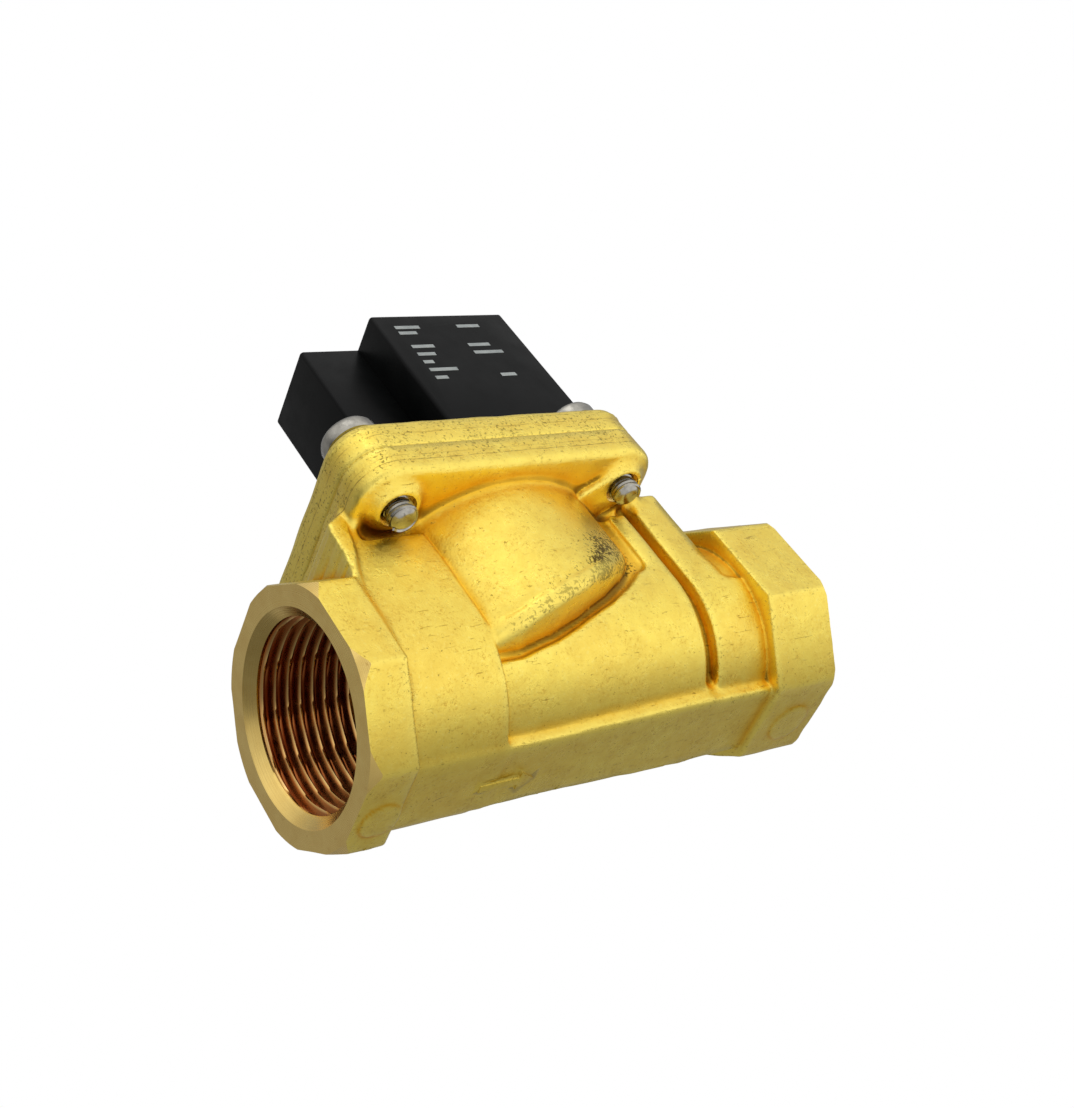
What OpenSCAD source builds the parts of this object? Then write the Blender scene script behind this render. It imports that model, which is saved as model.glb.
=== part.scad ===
// Pilot operated solenoid valve, two way, normally closed, threaded ports in line.
// X runs along the flow from the inlet mouth, Z points up from the pipe axis
// through the cover and the coil, Y is across the valve. Lengths are millimetres.

/* [Ports] */
// distance between the two port mouths
body_l = 76.7; // [75.5:0.1:84]
// width across the flats of the octagonal port collars
collar_af = 32; // [31:0.1:36]
// length of the inlet collar
collar_in_l = 6.5; // [5:0.1:9]
// length of the outlet collar
collar_out_l = 11.9; // [9:0.1:13]
// radius of the plain bore in the port thread
port_r = 12.06; // [11.5:0.01:12.4]
// depth of the port thread
port_depth = 15; // [12:0.5:16]
// radius of the ways behind the threads
way_r = 9.8; // [9:0.1:10.2]

/* [Forging] */
// distance from the inlet mouth to the centre of the cover
cover_x = 34.5; // [33.5:0.1:35]
// half width of the block behind the inlet collar
block_h = 15.4; // [14.8:0.1:16]
// half width of the middle of the body
mid_h = 14.6; // [14.2:0.1:15.2]
// radius of the round underside of the middle
mid_r = 14.3; // [14:0.1:14.8]
// half width of the block before the outlet collar
rear_h = 14.2; // [13.8:0.1:14.8]
// width of the groove between the middle and the rear block
groove_w = 1.5; // [1:0.1:2]
// radius of the neck between the blocks and the collars
neck_r = 14; // [13.8:0.1:14.3]
// half width of the strip along the bottom
strip_h = 5.3; // [4.5:0.1:6]
// depth of the strip below the pipe axis
strip_z = 15.1; // [14.9:0.1:15.6]
// radius of the round chamber wall under the flange
bulge_r = 20.3; // [19.8:0.1:21]
// rounding of the lower edge of that wall
bulge_round = 2.6; // [1.6:0.1:3]
// thickness of the chamber wall
wall = 2.7; // [2.2:0.1:3]
// half width of the square flange and cover
flange_h = 24; // [23.6:0.1:25]
// corner radius of flange and cover
flange_rc = 5.5; // [4:0.1:7]
// height of the flange underside above the pipe axis
flange_z = 16; // [15.8:0.1:17]
// thickness of the flange
flange_t = 5; // [4.6:0.1:6]
// radius of the main seat bore
throat_r = 8.2; // [7:0.1:8.6]
// height of the main seat above the pipe axis
seat_z = 15.6; // [15:0.1:16]

/* [Cover and screws] */
// thickness of the cover plate
cover_t = 5; // [4.8:0.1:6]
// radius of the dome over the diaphragm spring
dome_r = 12; // [11:0.1:13]
// height of the dome above the plate
dome_t = 2.5; // [2:0.1:3]
// radius of the boss that carries the armature tube
boss_r = 10.4; // [10.2:0.1:11]
// height of that boss above the plate
boss_t = 5.5; // [5.2:0.1:7]
// distance of each cover screw from the centre along X and Y
screw_pitch = 18.4; // [17.9:0.1:19]
// radius of the cover screws
screw_r = 2; // [1.5:0.1:2.2]
// length of screw that stands out under the flange
screw_tip = 3.2; // [2.6:0.1:5]
// thickness of the split washers
washer_t = 1; // [0.6:0.1:1.4]

/* [Diaphragm] */
// lift of the diaphragm stack
lift = 2.8; // [2:0.1:2.9]
// thickness of the seat disc
disc_t = 1.5; // [1.2:0.1:1.6]
// thickness of the diaphragm at its centre
dia_t = 1; // [0.8:0.1:1.1]
// thickness of the support plate
plate_t = 1.2; // [1:0.1:1.4]
// thickness of the clamped rim
rim_t = 1.4; // [1.2:0.1:1.6]
// radius of the rivet through the stack
rivet_r = 2; // [1.6:0.1:2.4]

/* [Pilot] */
// offset of the armature tube from the cover centre
tube_off = 13.5; // [13:0.1:13.8]
// travel of the plunger
plunger_travel = 1.2; // [0.8:0.1:1.6]
// radius of the plunger
plunger_r = 3.92; // [3.8:0.01:3.95]
// length of the plunger
plunger_l = 17.8; // [16:0.1:19]
// wall of the armature tube
tube_wall = 0.5; // [0.4:0.05:0.7]
// radius of the hole in the pilot seat
pilot_r = 0.75; // [0.5:0.05:1]
// thickness of the hexagon on the tube
hex_t = 2.5; // [2:0.1:4]

/* [Coil] */
// height of the coil block
coil_l = 29; // [28.6:0.1:31]
// half width of the coil across the valve
coil_h = 13; // [12:0.1:14]
// half width of the narrow back of the coil
deck_h = 6.8; // [6.4:0.1:8]
// distance from the tube to the outlet side of the coil
coil_front = 15.9; // [15:0.1:17]
// distance from the tube to the shoulder between wide and narrow part
coil_back = 8.8; // [8:0.1:9.5]
// distance from the tube to the end of the narrow back
deck_back = 18.8; // [18:0.1:20]
// outer radius of the winding
wind_r = 9.8; // [8:0.1:10]

/* [Hidden] */
$fn = 56;
slip = 0.1;
run_gap = 0.08;
half = collar_af / 2;
ct = half * 0.427;
sink_r = port_r + 1.54;
sink_t = 1.5;
xo = body_l - collar_out_l;
x_ridge = cover_x - 14;
x_groove = cover_x + 20.4;
x_rear = x_groove + groove_w;
x_neck = cover_x + 28;
way_wall = 2.4;
lip_r = throat_r + 1.2;
pocket_t = 2.6;
z_seam = flange_z + flange_t;
z_top = z_seam + cover_t;
z_rec = z_seam - rim_t;
z_disc = seat_z + disc_t;
z_dia = z_disc + dia_t;
z_plate = z_dia + plate_t;
z_cross = z_top - 1.4;
z_seat2 = z_top + 2.6;
z_boss = z_top + boss_t;
z_hex = z_boss + hex_t;
z_coil = z_hex + coil_l;
chamber_r = bulge_r - 2.8;
rim_r = flange_h - 1.5;
return_off = (chamber_r + rim_r) / 2 + 0.2;
ball_x = return_off + 1.2;
ball_l = flange_h - 0.6 - ball_x;
dome_way = dome_r - 3;
fold_r = chamber_r - 4.1;
bleed_y = fold_r - 1.7;
xt = cover_x + tube_off;
foot_r = 7;
foot_z = z_top + 2.6;
seal_r = 8.9;
seal_t = 1.4;
tube_i = plunger_r + run_gap;
tube_o = tube_i + tube_wall;
z_plunger = z_seat2 + 0.6;
z_gap = z_plunger + plunger_l;
z_core = z_gap + plunger_travel;
yoke_t = 2.5;
z_yoke0 = z_hex + 2;
z_yoke1 = z_coil - 2 - yoke_t;
x_limb = xt - deck_back + 2.2;
bobbin_t = 1.1;
bobbin_r = tube_o + 1.2;
x_face = xt + coil_front;
z_term = z_hex + 16;
pin_y = coil_h - 7.5;
blade_t = 0.8;
blade_w = 6.3;
blade_l = 7.5;
stud_r = 3;
screws = [[-1, -1], [1, -1], [1, 1], [-1, 1]];
// underside of the chamber wall in X from the cover centre and Z
sole = [[-19.5, -5.6], [-7.5, -5], [0, -3], [13.5, 1.5], [25.5, 5.6]];

// cylinder along X from x0 to x1
module cx(r, x0, x1) translate([x0, 0, 0]) rotate([0, 90, 0]) cylinder(r = r, h = x1 - x0);
// shape turned about the X axis, from points of x and radius
module rev_x(pts) rotate([0, 90, 0]) rotate_extrude() polygon([for (p = pts) [p[1], p[0]]]);
// cylinder along Z at x, y from z0 to z1
module cz(x, y, r, z0, z1) translate([x, y, z0]) cylinder(r = r, h = z1 - z0);
// box from corner a to corner b
module bx(a, b) translate(a) cube(b - a);
// its children at each cover screw
module at_screws() for (s = screws)
    translate([cover_x + s[0] * screw_pitch, s[1] * screw_pitch, 0]) children();
// flat rectangle with round corners, centred
module rrect(hx, hy, r) {
    square([2 * hx - 2 * r, 2 * hy], center = true);
    square([2 * hx, 2 * hy - 2 * r], center = true);
    for (i = [-1, 1]) for (j = [-1, 1])
        translate([i * (hx - r), j * (hy - r)]) circle(r = r, $fn = 32);
}
// octagonal prism along X
module octo(x0, x1) translate([x0, 0, 0]) rotate([0, 90, 0]) rotate([0, 0, 90])
    linear_extrude(height = x1 - x0)
        polygon([[half, ct], [ct, half], [-ct, half], [-half, ct],
                 [-half, -ct], [-ct, -half], [ct, -half], [half, -ct]]);
// profile in X and Z drawn out across the valve
module xz(pts, y0, y1) translate([0, y1, 0]) rotate([90, 0, 0])
    linear_extrude(height = y1 - y0) polygon(pts);
// ring with a round section about the tube axis
module oring(z, rm, rs) translate([xt, 0, z])
    rotate_extrude($fn = 40) translate([rm, 0]) circle(r = rs, $fn = 16);
// coil spring drawn as one swept wire, with close end turns
module helix(rm, rw, h, turns, seg = 16, side = 6) {
    n = floor(turns * seg);
    zz = [for (i = [0:n]) let (a = i / n, b = 0.16)
        rw + (h - 2 * rw) * (a < b ? 0.35 * a : a > 1 - b ? 1 - 0.35 * (1 - a)
            : 0.35 * b + (a - b) * (1 - 0.7 * b) / (1 - 2 * b))];
    pts = [for (i = [0:n]) for (k = [0:side - 1])
        let (t = 360 * i / seg, p = 360 * k / side, r = rm + rw * cos(p))
        [r * cos(t), r * sin(t), zz[i] + rw * sin(p)]];
    caps = [[for (k = [0:side - 1]) k], [for (k = [0:side - 1]) n * side + side - 1 - k]];
    quads = [for (i = [0:n - 1]) for (k = [0:side - 1])
        let (j = (k + 1) % side) [i * side + k, (i + 1) * side + k, (i + 1) * side + j, i * side + j]];
    polyhedron(points = pts, faces = concat(caps, quads), convexity = 8);
}
// block with a round underside around the pipe axis
module u_block(x0, x1, hw, r) {
    bx([x0, -hw, 0], [x1, hw, flange_z + 2]);
    intersection() {
        cx(r, x0, x1);
        bx([x0, -hw, -r], [x1, hw, 1]);
    }
}
// space over the sole of the round chamber, raised by dz
module over_sole(dz) translate([cover_x, 0, 0])
    xz(concat([for (p = sole) p + [0, dz]], [[25.5, 30], [-19.5, 30]]), -30, 30);
// flow arrow on the bottom strip
module arrow() translate([0, 0.7, -strip_z - 0.3]) linear_extrude(height = 1)
    polygon([[18, -0.6], [24, -0.6], [24, -1.6], [26.4, 0], [24, 1.6], [24, 0.6], [18, 0.6]]);

// solid outside of the forged body
module body_outside() {
    // collars with turned faces
    intersection() {
        octo(0, collar_in_l);
        rev_x([[0, 0], [0, half + 0.5], [1.8, half + 1.6], [collar_in_l, half + 1.6], [collar_in_l, 0]]);
    }
    intersection() {
        octo(xo, body_l);
        rev_x([[xo, 0], [xo, neck_r + 0.9], [xo + 2.4, half + 1.7], [body_l - 2.3, half + 1.7],
               [body_l, half + 0.3], [body_l, 0]]);
    }
    // pipe wall behind each collar
    cx(neck_r, 2, cover_x - flange_h + 1);
    cx(neck_r, x_rear, body_l - 2);
    // blocks between the collars, with clearance pockets around the screw bosses
    difference() {
        intersection() {
            union() {
                u_block(collar_in_l - 0.5, x_ridge, block_h, block_h + 0.2);
                u_block(x_ridge - 0.5, x_groove, mid_h, mid_r);
                u_block(x_groove - 0.5, x_rear + 0.5, mid_h - 2.2, mid_r - 1.7);
                u_block(x_rear, x_neck + 0.5, rear_h, rear_h + 0.9);
            }
            xz([[collar_in_l - 0.1, -18], [collar_in_l - 0.1, 4.7], [8.8, flange_z + 1.6],
                [cover_x - flange_h, flange_z + 2.7], [cover_x + flange_h, flange_z + 2.7],
                [x_neck - 2.3, flange_z + 1.6], [x_neck, 4.7], [x_neck, -18]], -20, 20);
        }
        at_screws() cz(0, 0, 2 * screw_r + 1.8, flange_z - pocket_t, flange_z + 0.5);
    }
    // round chamber wall with its cove under the flange
    hull() for (k = [0, 0.3, 1]) intersection() {
        cz(cover_x, 0, bulge_r - bulge_round * (1 - k) * (1 - k), -8, flange_z + 1);
        over_sole(bulge_round * k);
    }
    translate([cover_x, 0, flange_z - 1.4]) rotate_extrude() polygon([[bulge_r - 1, 0], [bulge_r, 0],
        for (a = [15:15:75]) [bulge_r + 1.4 * (1 - cos(a)), 1.4 * sin(a)],
        [bulge_r + 1.4, 1.4], [bulge_r + 1.4, 2], [bulge_r - 1, 2]]);
    bx([collar_in_l - 0.5, -strip_h, -strip_z], [xo + 1, strip_h, -8]);
    arrow();
    // low round pads under the collars
    cz(3.7, 1.5, 2.7, -half - 0.3, -half + 1.7);
    cz(body_l - 5.1, 1, 3.2, -half - 0.3, -half + 1.7);
    // flange and its screw bosses
    translate([cover_x, 0, flange_z]) linear_extrude(height = flange_t)
        rrect(flange_h, flange_h, flange_rc);
    at_screws() cz(0, 0, 2 * screw_r, flange_z - 2, flange_z + 1);
}
// valve body, one brass forging with its machined ways
module valve_body() color([0.80, 0.62, 0.20]) difference() {
    body_outside();
    // port threads with their countersinks and the ways behind them
    rev_x([[-1, 0], [-1, sink_r], [0, sink_r], [sink_t, port_r], [port_depth, port_r],
           [port_depth + 2, way_r], [cover_x - 10.7, way_r], [cover_x - 10.7, 0]]);
    rev_x([[cover_x - 8.3, 0], [cover_x - 8.3, way_r], [body_l - port_depth - 2, way_r],
           [body_l - port_depth, port_r], [body_l - sink_t, port_r], [body_l, sink_r],
           [body_l + 1, sink_r], [body_l + 1, 0]]);
    // ring chamber around the main seat, open to the inlet
    difference() {
        intersection() {
            cz(cover_x, 0, bulge_r - wall, -4, z_seam);
            over_sole(wall);
        }
        cx(way_r + way_wall, cover_x - 10.5, body_l);
        cz(cover_x, 0, throat_r + way_wall, 0, seat_z - 0.8);
        cz(cover_x, 0, lip_r, 0, seat_z);
    }
    cz(cover_x, 0, throat_r, 0, seat_z + 1);
    // recess for the diaphragm rim
    cz(cover_x, 0, rim_r + slip, z_rec, z_seam + 1);
    // pilot return way into the outlet
    cz(cover_x + return_off, 0, 1, 5, z_seam);
    at_screws() cz(0, 0, screw_r, 10, z_seam + 1);
}
// cover plate with the spring dome and the tube boss
module cover() color([0.74, 0.56, 0.20]) difference() {
    union() {
        translate([cover_x, 0, z_seam]) linear_extrude(height = cover_t - 0.6)
            rrect(flange_h, flange_h, flange_rc);
        translate([cover_x, 0, z_seam + 1]) linear_extrude(height = cover_t - 1)
            rrect(flange_h - 0.5, flange_h - 0.5, flange_rc - 0.5);
        translate([cover_x, 0, z_top - 1]) rotate_extrude() polygon([[0, 0], [dome_r, 0],
            [dome_r, dome_t], for (a = [30:30:60]) [dome_r - 1 + cos(a), dome_t + sin(a)],
            [dome_r - 1, dome_t + 1], [0, dome_t + 1]]);
        cz(xt, 0, boss_r, z_top - 1, z_boss);
    }
    // control chamber, with room for the lift of the stack, and the spring's seat
    cz(cover_x, 0, chamber_r, z_seam - 1, z_plate + lift + 0.8);
    cz(cover_x, 0, dome_way, z_seam - 1, z_top);
    // chamber, thread and seal seat of the armature tube
    cz(xt, 0, foot_r - 0.8, z_top + 1.5, z_boss);
    cz(xt, 0, foot_r, foot_z - slip, z_boss + 1);
    cz(xt, 0, seal_r, z_boss - seal_t, z_boss + 1);
    // seat of the pilot seat, cross drilling, return way and feed way
    cz(xt, 0, 2, z_seat2 - 3, z_top + 2);
    cz(xt, 0, 0.9, z_cross - 0.6, z_top + 1);
    translate([0, 0, z_cross]) cx(0.9, xt, cover_x + flange_h + 1);
    translate([0, 0, z_cross]) cx(1.5, cover_x + ball_x, cover_x + flange_h + 1);
    cz(cover_x + return_off, 0, 1, z_seam - 1, z_cross);
    cz(xt - 5, 0, 0.8, z_seam, z_top + 2);
    at_screws() cz(0, 0, screw_r + 2 * slip, z_seam - 1, z_top + 1);
}
// ball pressed into the cross drilled pilot way, drawn as a plug
module pilot_plug() color([0.70, 0.71, 0.73])
    translate([0, 0, z_cross]) cx(1.5, cover_x + ball_x, cover_x + ball_x + ball_l);
// four screws through cover and flange
module cover_screws() color([0.72, 0.73, 0.75]) at_screws() difference() {
    r = screw_r - 0.02;
    z = z_top + washer_t;
    rotate_extrude($fn = 40) polygon([[0, flange_z - screw_tip], [r - 0.4, flange_z - screw_tip],
        [r, flange_z - screw_tip + 0.4], [r, z], [2 * screw_r, z], [2 * screw_r, z + 1.9],
        [1.8 * screw_r, z + 2.5], [1.35 * screw_r, z + 2.9], [0, z + 3]]);
    bx([-2.4, -0.5, z + 1.4], [2.4, 0.5, z + 4]);
    bx([-0.5, -2.4, z + 1.4], [0.5, 2.4, z + 4]);
}
// split spring washers under the screw heads
module screw_washers() color([0.66, 0.67, 0.69]) at_screws() difference() {
    cz(0, 0, 1.9 * screw_r, z_top, z_top + washer_t);
    cz(0, 0, screw_r + 0.15, z_seam, z_top + 2);
    rotate([0, 0, 250]) bx([1, -0.15, z_seam], [5, 0.15, z_top + 2]);
}
// rubber diaphragm with rim, flexing ring and centre
module diaphragm() color([0.10, 0.10, 0.11]) translate([cover_x, 0, 0]) difference() {
    rotate_extrude($fn = 64) polygon([[rivet_r + 0.3, z_disc], [fold_r - 0.8, z_disc], [fold_r + 0.6, z_disc + 0.4],
        [chamber_r - 0.3, z_rec], [rim_r, z_rec], [rim_r, z_seam], [chamber_r, z_seam],
        [fold_r + 1, z_dia + 0.9], [fold_r - 0.4, z_dia], [rivet_r + 0.3, z_dia]]);
    cz(return_off, 0, 1, z_rec - 1, z_seam + 1);
    cz(0, bleed_y, 0.6, z_disc - 1, z_dia + 1);
}
// steel plate above the diaphragm
module support_plate() color([0.74, 0.75, 0.77]) translate([cover_x, 0, 0]) difference() {
    cz(0, 0, fold_r - 1, z_dia, z_plate);
    cz(0, 0, rivet_r, z_dia - 1, z_plate + 1);
    cz(0, bleed_y, 0.45, z_dia - 1, z_plate + 1);
}
// rubber disc that closes the main seat
module seat_disc() color([0.13, 0.13, 0.14]) translate([cover_x, 0, 0]) difference() {
    cz(0, 0, lip_r + 1.5, seat_z, z_disc);
    cz(0, 0, rivet_r, seat_z - 1, z_disc + 1);
}
// brass washer under the seat disc
module seat_washer() color([0.78, 0.60, 0.22]) translate([cover_x, 0, 0]) difference() {
    cz(0, 0, throat_r - 1.8, seat_z - 1.2, seat_z);
    cz(0, 0, rivet_r, seat_z - 2, seat_z + 1);
}
// rivet that holds the diaphragm stack together
module stack_rivet() color([0.70, 0.71, 0.73]) translate([cover_x, 0, 0]) {
    z = seat_z - 1.2;
    r = rivet_r - 0.02;
    rotate_extrude() polygon([[0, z - 1], [r + 0.6, z - 1], [r + 1.2, z - 0.4], [r + 1.2, z],
        [r, z], [r, z_plate], [r + 1.2, z_plate], [r + 1.2, z_plate + 0.6],
        [r + 0.6, z_plate + 1.2], [0, z_plate + 1.2]]);
}
// spring that closes the main seat
module diaphragm_spring() color([0.66, 0.67, 0.69])
    translate([cover_x, 0, z_plate]) helix(dome_way - 2.6, 0.45, z_top - z_plate, 4.5, 20, 8);
// steel pilot seat pressed into the cover
module pilot_seat() color([0.76, 0.77, 0.79]) translate([xt, 0, z_seat2]) difference() {
    rotate_extrude() polygon([[0, -3], [2, -3], [2, -1.1], [3, -1.1], [3, -0.7],
        [pilot_r + 0.75, -0.4], [pilot_r + 0.45, 0], [0, 0]]);
    cz(0, 0, pilot_r, -4, 1);
}
// sealing ring under the tube nut
module tube_seal() color([0.09, 0.09, 0.10])
    oring(z_boss - seal_t / 2, (foot_r + seal_r) / 2, seal_t / 2 - 0.02);
// armature tube with its threaded foot and hexagon
module armature_tube() color([0.72, 0.73, 0.74]) translate([xt, 0, 0]) difference() {
    union() {
        cz(0, 0, foot_r - 0.02, foot_z, z_boss + 0.5);
        translate([0, 0, z_boss]) rotate([0, 0, 30]) cylinder(r = boss_r - 0.3, h = hex_t, $fn = 6);
        cz(0, 0, tube_o, z_hex - 1, z_coil - 1);
    }
    cz(0, 0, tube_i, z_top, z_coil);
    cz(0, 0, foot_r - 1.4, z_top, foot_z + 1.4);
}
// fixed core that closes the tube and carries the coil nut
module fixed_core() color([0.68, 0.69, 0.71]) translate([xt, 0, 0]) difference() {
    union() {
        cz(0, 0, tube_i, z_core, z_coil - 1);
        cz(0, 0, tube_o, z_coil - 1, z_coil);
        cz(0, 0, stud_r - 0.02, z_coil - 1, z_coil + 4.2);
    }
    difference() {
        cz(0, 0, tube_i - 0.6, z_core - 1, z_core + 1.1);
        cz(0, 0, tube_i - 1.3, z_core - 2, z_core + 2);
    }
}
// copper ring in the face of the fixed core
module shading_ring() color([0.78, 0.45, 0.28]) translate([xt, 0, 0]) difference() {
    cz(0, 0, tube_i - 0.6, z_core, z_core + 1.1);
    cz(0, 0, tube_i - 1.3, z_core - 1, z_core + 2);
}
// moving plunger with flow grooves and its spring bore
module plunger() color([0.70, 0.71, 0.73]) translate([xt, 0, 0]) difference() {
    cz(0, 0, plunger_r, z_plunger, z_gap);
    cz(0, 0, 2.4, z_gap - 9, z_gap + 1);
    cz(0, 0, 2.4, z_plunger - 1, z_plunger + 2.2);
    for (a = [0, 180]) rotate([0, 0, a])
        bx([-0.5, plunger_r - 0.6, z_plunger - 1], [0.5, plunger_r + 1, z_gap + 1]);
}
// rubber seal in the foot of the plunger
module plunger_seal() color([0.11, 0.11, 0.12]) cz(xt, 0, 2.4, z_seat2, z_plunger + 2.2);
// spring that pushes the plunger onto the pilot seat
module plunger_spring() color([0.66, 0.67, 0.69])
    translate([xt, 0, z_gap - 9]) helix(1.75, 0.25, plunger_travel + 9, 8, 14, 6);
// outline of the coil seen from above
module coil_plan() {
    translate([xt + (coil_front - coil_back) / 2, 0])
        rrect((coil_front + coil_back) / 2, coil_h, 0.8);
    translate([xt - (deck_back + coil_back - 5) / 2, 0])
        rrect((deck_back - coil_back + 5) / 2, deck_h, 0.8);
}
// steel yoke plates and limb as one folded strip
module yoke_solid() {
    hw = deck_h - 1.5;
    for (z = [z_yoke0, z_yoke1]) {
        bx([x_limb, -hw, z], [xt - 6, hw, z + yoke_t]);
        bx([xt - 7.4, 4 - coil_h, z], [xt + coil_front - 6.5, coil_h - 4, z + yoke_t]);
    }
    bx([x_limb, -hw, z_yoke0], [x_limb + yoke_t, hw, z_yoke1 + yoke_t]);
}
// steel yoke
module yoke() color([0.45, 0.46, 0.48]) difference() {
    yoke_solid();
    cz(xt, 0, tube_o + slip, z_hex, z_coil);
}
// plastic bobbin
module bobbin() color([0.22, 0.22, 0.23]) translate([xt, 0, 0]) difference() {
    union() {
        cz(0, 0, bobbin_r, z_yoke0 + yoke_t, z_yoke1);
        cz(0, 0, wind_r + 0.3, z_yoke0 + yoke_t, z_yoke0 + yoke_t + bobbin_t);
        cz(0, 0, wind_r + 0.3, z_yoke1 - bobbin_t, z_yoke1);
    }
    cz(0, 0, tube_o + slip, z_hex, z_coil);
}
// copper winding
module winding() color([0.72, 0.38, 0.20]) translate([xt, 0, 0]) difference() {
    cz(0, 0, wind_r, z_yoke0 + yoke_t + bobbin_t, z_yoke1 - bobbin_t);
    cz(0, 0, bobbin_r, z_hex, z_coil);
}
// room of the two line blades, from their root to x1
module line_slots(x1) for (y = [-pin_y, pin_y])
    bx([x_face - 3.5, y - blade_t / 2, z_term - blade_w / 2], [x1, y + blade_t / 2, z_term + blade_w / 2]);
// room of the earth blade below them
module earth_slot(x1) bx([x_face - 3.5, -blade_w / 2, z_term - 8.5 - blade_t / 2],
    [x1, blade_w / 2, z_term - 8.5 + blade_t / 2]);
// two line blades on the outlet side of the coil
module line_blades() color([0.78, 0.78, 0.76]) difference() {
    line_slots(x_face + blade_l);
    for (y = [-pin_y, pin_y]) translate([x_face + blade_l - 2.8, y, z_term]) rotate([90, 0, 0])
        cylinder(r = 0.8, h = 3, center = true, $fn = 20);
}
// earth blade
module earth_blade() color([0.78, 0.78, 0.76]) difference() {
    earth_slot(x_face + blade_l);
    cz(x_face + blade_l - 2.8, 0, 0.8, z_term - 10, z_term - 7);
}
// threaded insert for the connector screw
module connector_insert() color([0.80, 0.62, 0.26]) translate([0, 0, z_term]) difference() {
    cx(2.1, x_face - 4, x_face);
    cx(1.25, x_face - 3, x_face + 1);
}
// moulded plastic around the coil
module coil_housing() color([0.09, 0.09, 0.10]) difference() {
    translate([0, 0, z_hex]) linear_extrude(height = coil_l) coil_plan();
    yoke_solid();
    cz(xt, 0, tube_o + slip, z_hex - 1, z_coil + 1);
    cz(xt, 0, wind_r + 0.3, z_yoke0 + yoke_t, z_yoke1);
    // seats of the ring seals at both ends of the bore
    cz(xt, 0, tube_o + 1.7, z_coil - 1.1, z_coil + 1);
    cz(xt, 0, tube_o + 1.7, z_hex - 1, z_hex + 1.1);
    line_slots(x_face + 1);
    earth_slot(x_face + 1);
    translate([0, 0, z_term]) cx(2.1, x_face - 4, x_face + 1);
}
// two sealing rings at the ends of the coil bore
module coil_seals() color([0.08, 0.08, 0.09])
    for (z = [z_hex + 0.55, z_coil - 0.55]) oring(z, tube_o + 0.85, 0.53);
// washer under the coil nut
module coil_washer() color([0.74, 0.75, 0.76]) translate([xt, 0, 0]) difference() {
    cz(0, 0, 6.6, z_coil, z_coil + 0.6);
    cz(0, 0, stud_r + 0.15, z_coil - 1, z_coil + 2);
}
// nut that holds the coil on the tube
module coil_nut() color([0.72, 0.73, 0.75]) translate([xt, 0, z_coil + 0.6]) difference() {
    intersection() {
        cylinder(r = 5.77, h = 2.9, $fn = 6);
        union() {
            cylinder(r = 5.77, h = 2.4, $fn = 40);
            translate([0, 0, 2.39]) cylinder(r1 = 5.77, r2 = 4.9, h = 0.51, $fn = 40);
        }
    }
    cz(0, 0, stud_r, -1, 6);
}

valve_body();
cover();
pilot_plug();
cover_screws();
screw_washers();
diaphragm();
support_plate();
seat_disc();
seat_washer();
stack_rivet();
diaphragm_spring();
pilot_seat();
tube_seal();
armature_tube();
fixed_core();
shading_ring();
plunger();
plunger_seal();
plunger_spring();
coil_housing();
yoke();
bobbin();
winding();
line_blades();
earth_blade();
connector_insert();
coil_seals();
coil_washer();
coil_nut();
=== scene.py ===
import math
from contextlib import contextmanager
from functools import partial

import bmesh
import bpy
import numpy as np
import openvdb
from mathutils import Matrix, Vector


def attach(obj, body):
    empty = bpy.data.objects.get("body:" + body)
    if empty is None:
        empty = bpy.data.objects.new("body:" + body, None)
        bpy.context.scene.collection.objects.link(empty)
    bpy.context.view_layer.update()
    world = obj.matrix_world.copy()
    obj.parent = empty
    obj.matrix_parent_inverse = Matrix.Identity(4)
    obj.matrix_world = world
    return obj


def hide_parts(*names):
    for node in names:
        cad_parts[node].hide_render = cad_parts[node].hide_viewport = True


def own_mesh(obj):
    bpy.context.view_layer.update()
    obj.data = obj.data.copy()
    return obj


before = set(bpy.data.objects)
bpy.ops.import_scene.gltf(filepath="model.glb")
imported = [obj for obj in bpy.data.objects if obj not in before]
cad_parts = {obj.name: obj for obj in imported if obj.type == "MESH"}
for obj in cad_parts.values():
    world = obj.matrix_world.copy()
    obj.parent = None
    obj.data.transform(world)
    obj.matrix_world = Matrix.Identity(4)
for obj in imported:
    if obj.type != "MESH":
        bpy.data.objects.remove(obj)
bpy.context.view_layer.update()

# Lengths in this file are millimetres. A piece is made metres when its mesh is written.
MM = 0.001
BODY_L = 76.7
# cover: centre, half width, corner radius, the screws' distance from its centre, and its machined side
COVER_X = 34.5
COVER_HALF = 24.0
COVER_CORNER = 5.5
SCREW_AT = 18.4
SIDE = 23.98
# heights: strip's foot, floor, seam, cover, tube boss, coil's foot, plug's middle, coil's top
Z_STRIP = -15.1
Z_FLOOR = -16.42
Z_SEAM = 21.0
Z_TOP = 26.0
Z_BOSS = 31.5
Z_HEX = 34.0
Z_TERM = 50.0
Z_COIL = 63.0
# axis of the armature tube, the coil's front face, and the step in its outline
TUBE_X = 48.0
COIL_FACE = 63.9
STEP_X = 39.2
STEP_Y = 6.8
# pipe thread: radius over the crests, pitch, and the radius of the bored mouth
PORT_R = 12.06
PITCH = 1.814
MOUTH_R = 13.6
# ways: main bore, chamber and its outside, and the return way's distance from the cover's centre
WAY_R = 9.8
ROOM_R = 17.5
WALL_R = 20.3
RETURN_AT = 20.2
# rest pads as (x, y, radius)
PADS = ((3.7, 1.5, 2.7), (71.6, 1.0, 3.2))
# sloping sole of the chamber wall, as heights at distances from the cover's centre
SOLE_X = (-19.5, -10.0, -4.0, 0.0, 6.7, 11.0, 14.5, 25.5)
SOLE_Z = (-5.8, -5.7, -4.5, -3.3, -0.6, 1.8, 4.2, 4.2)
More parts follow.
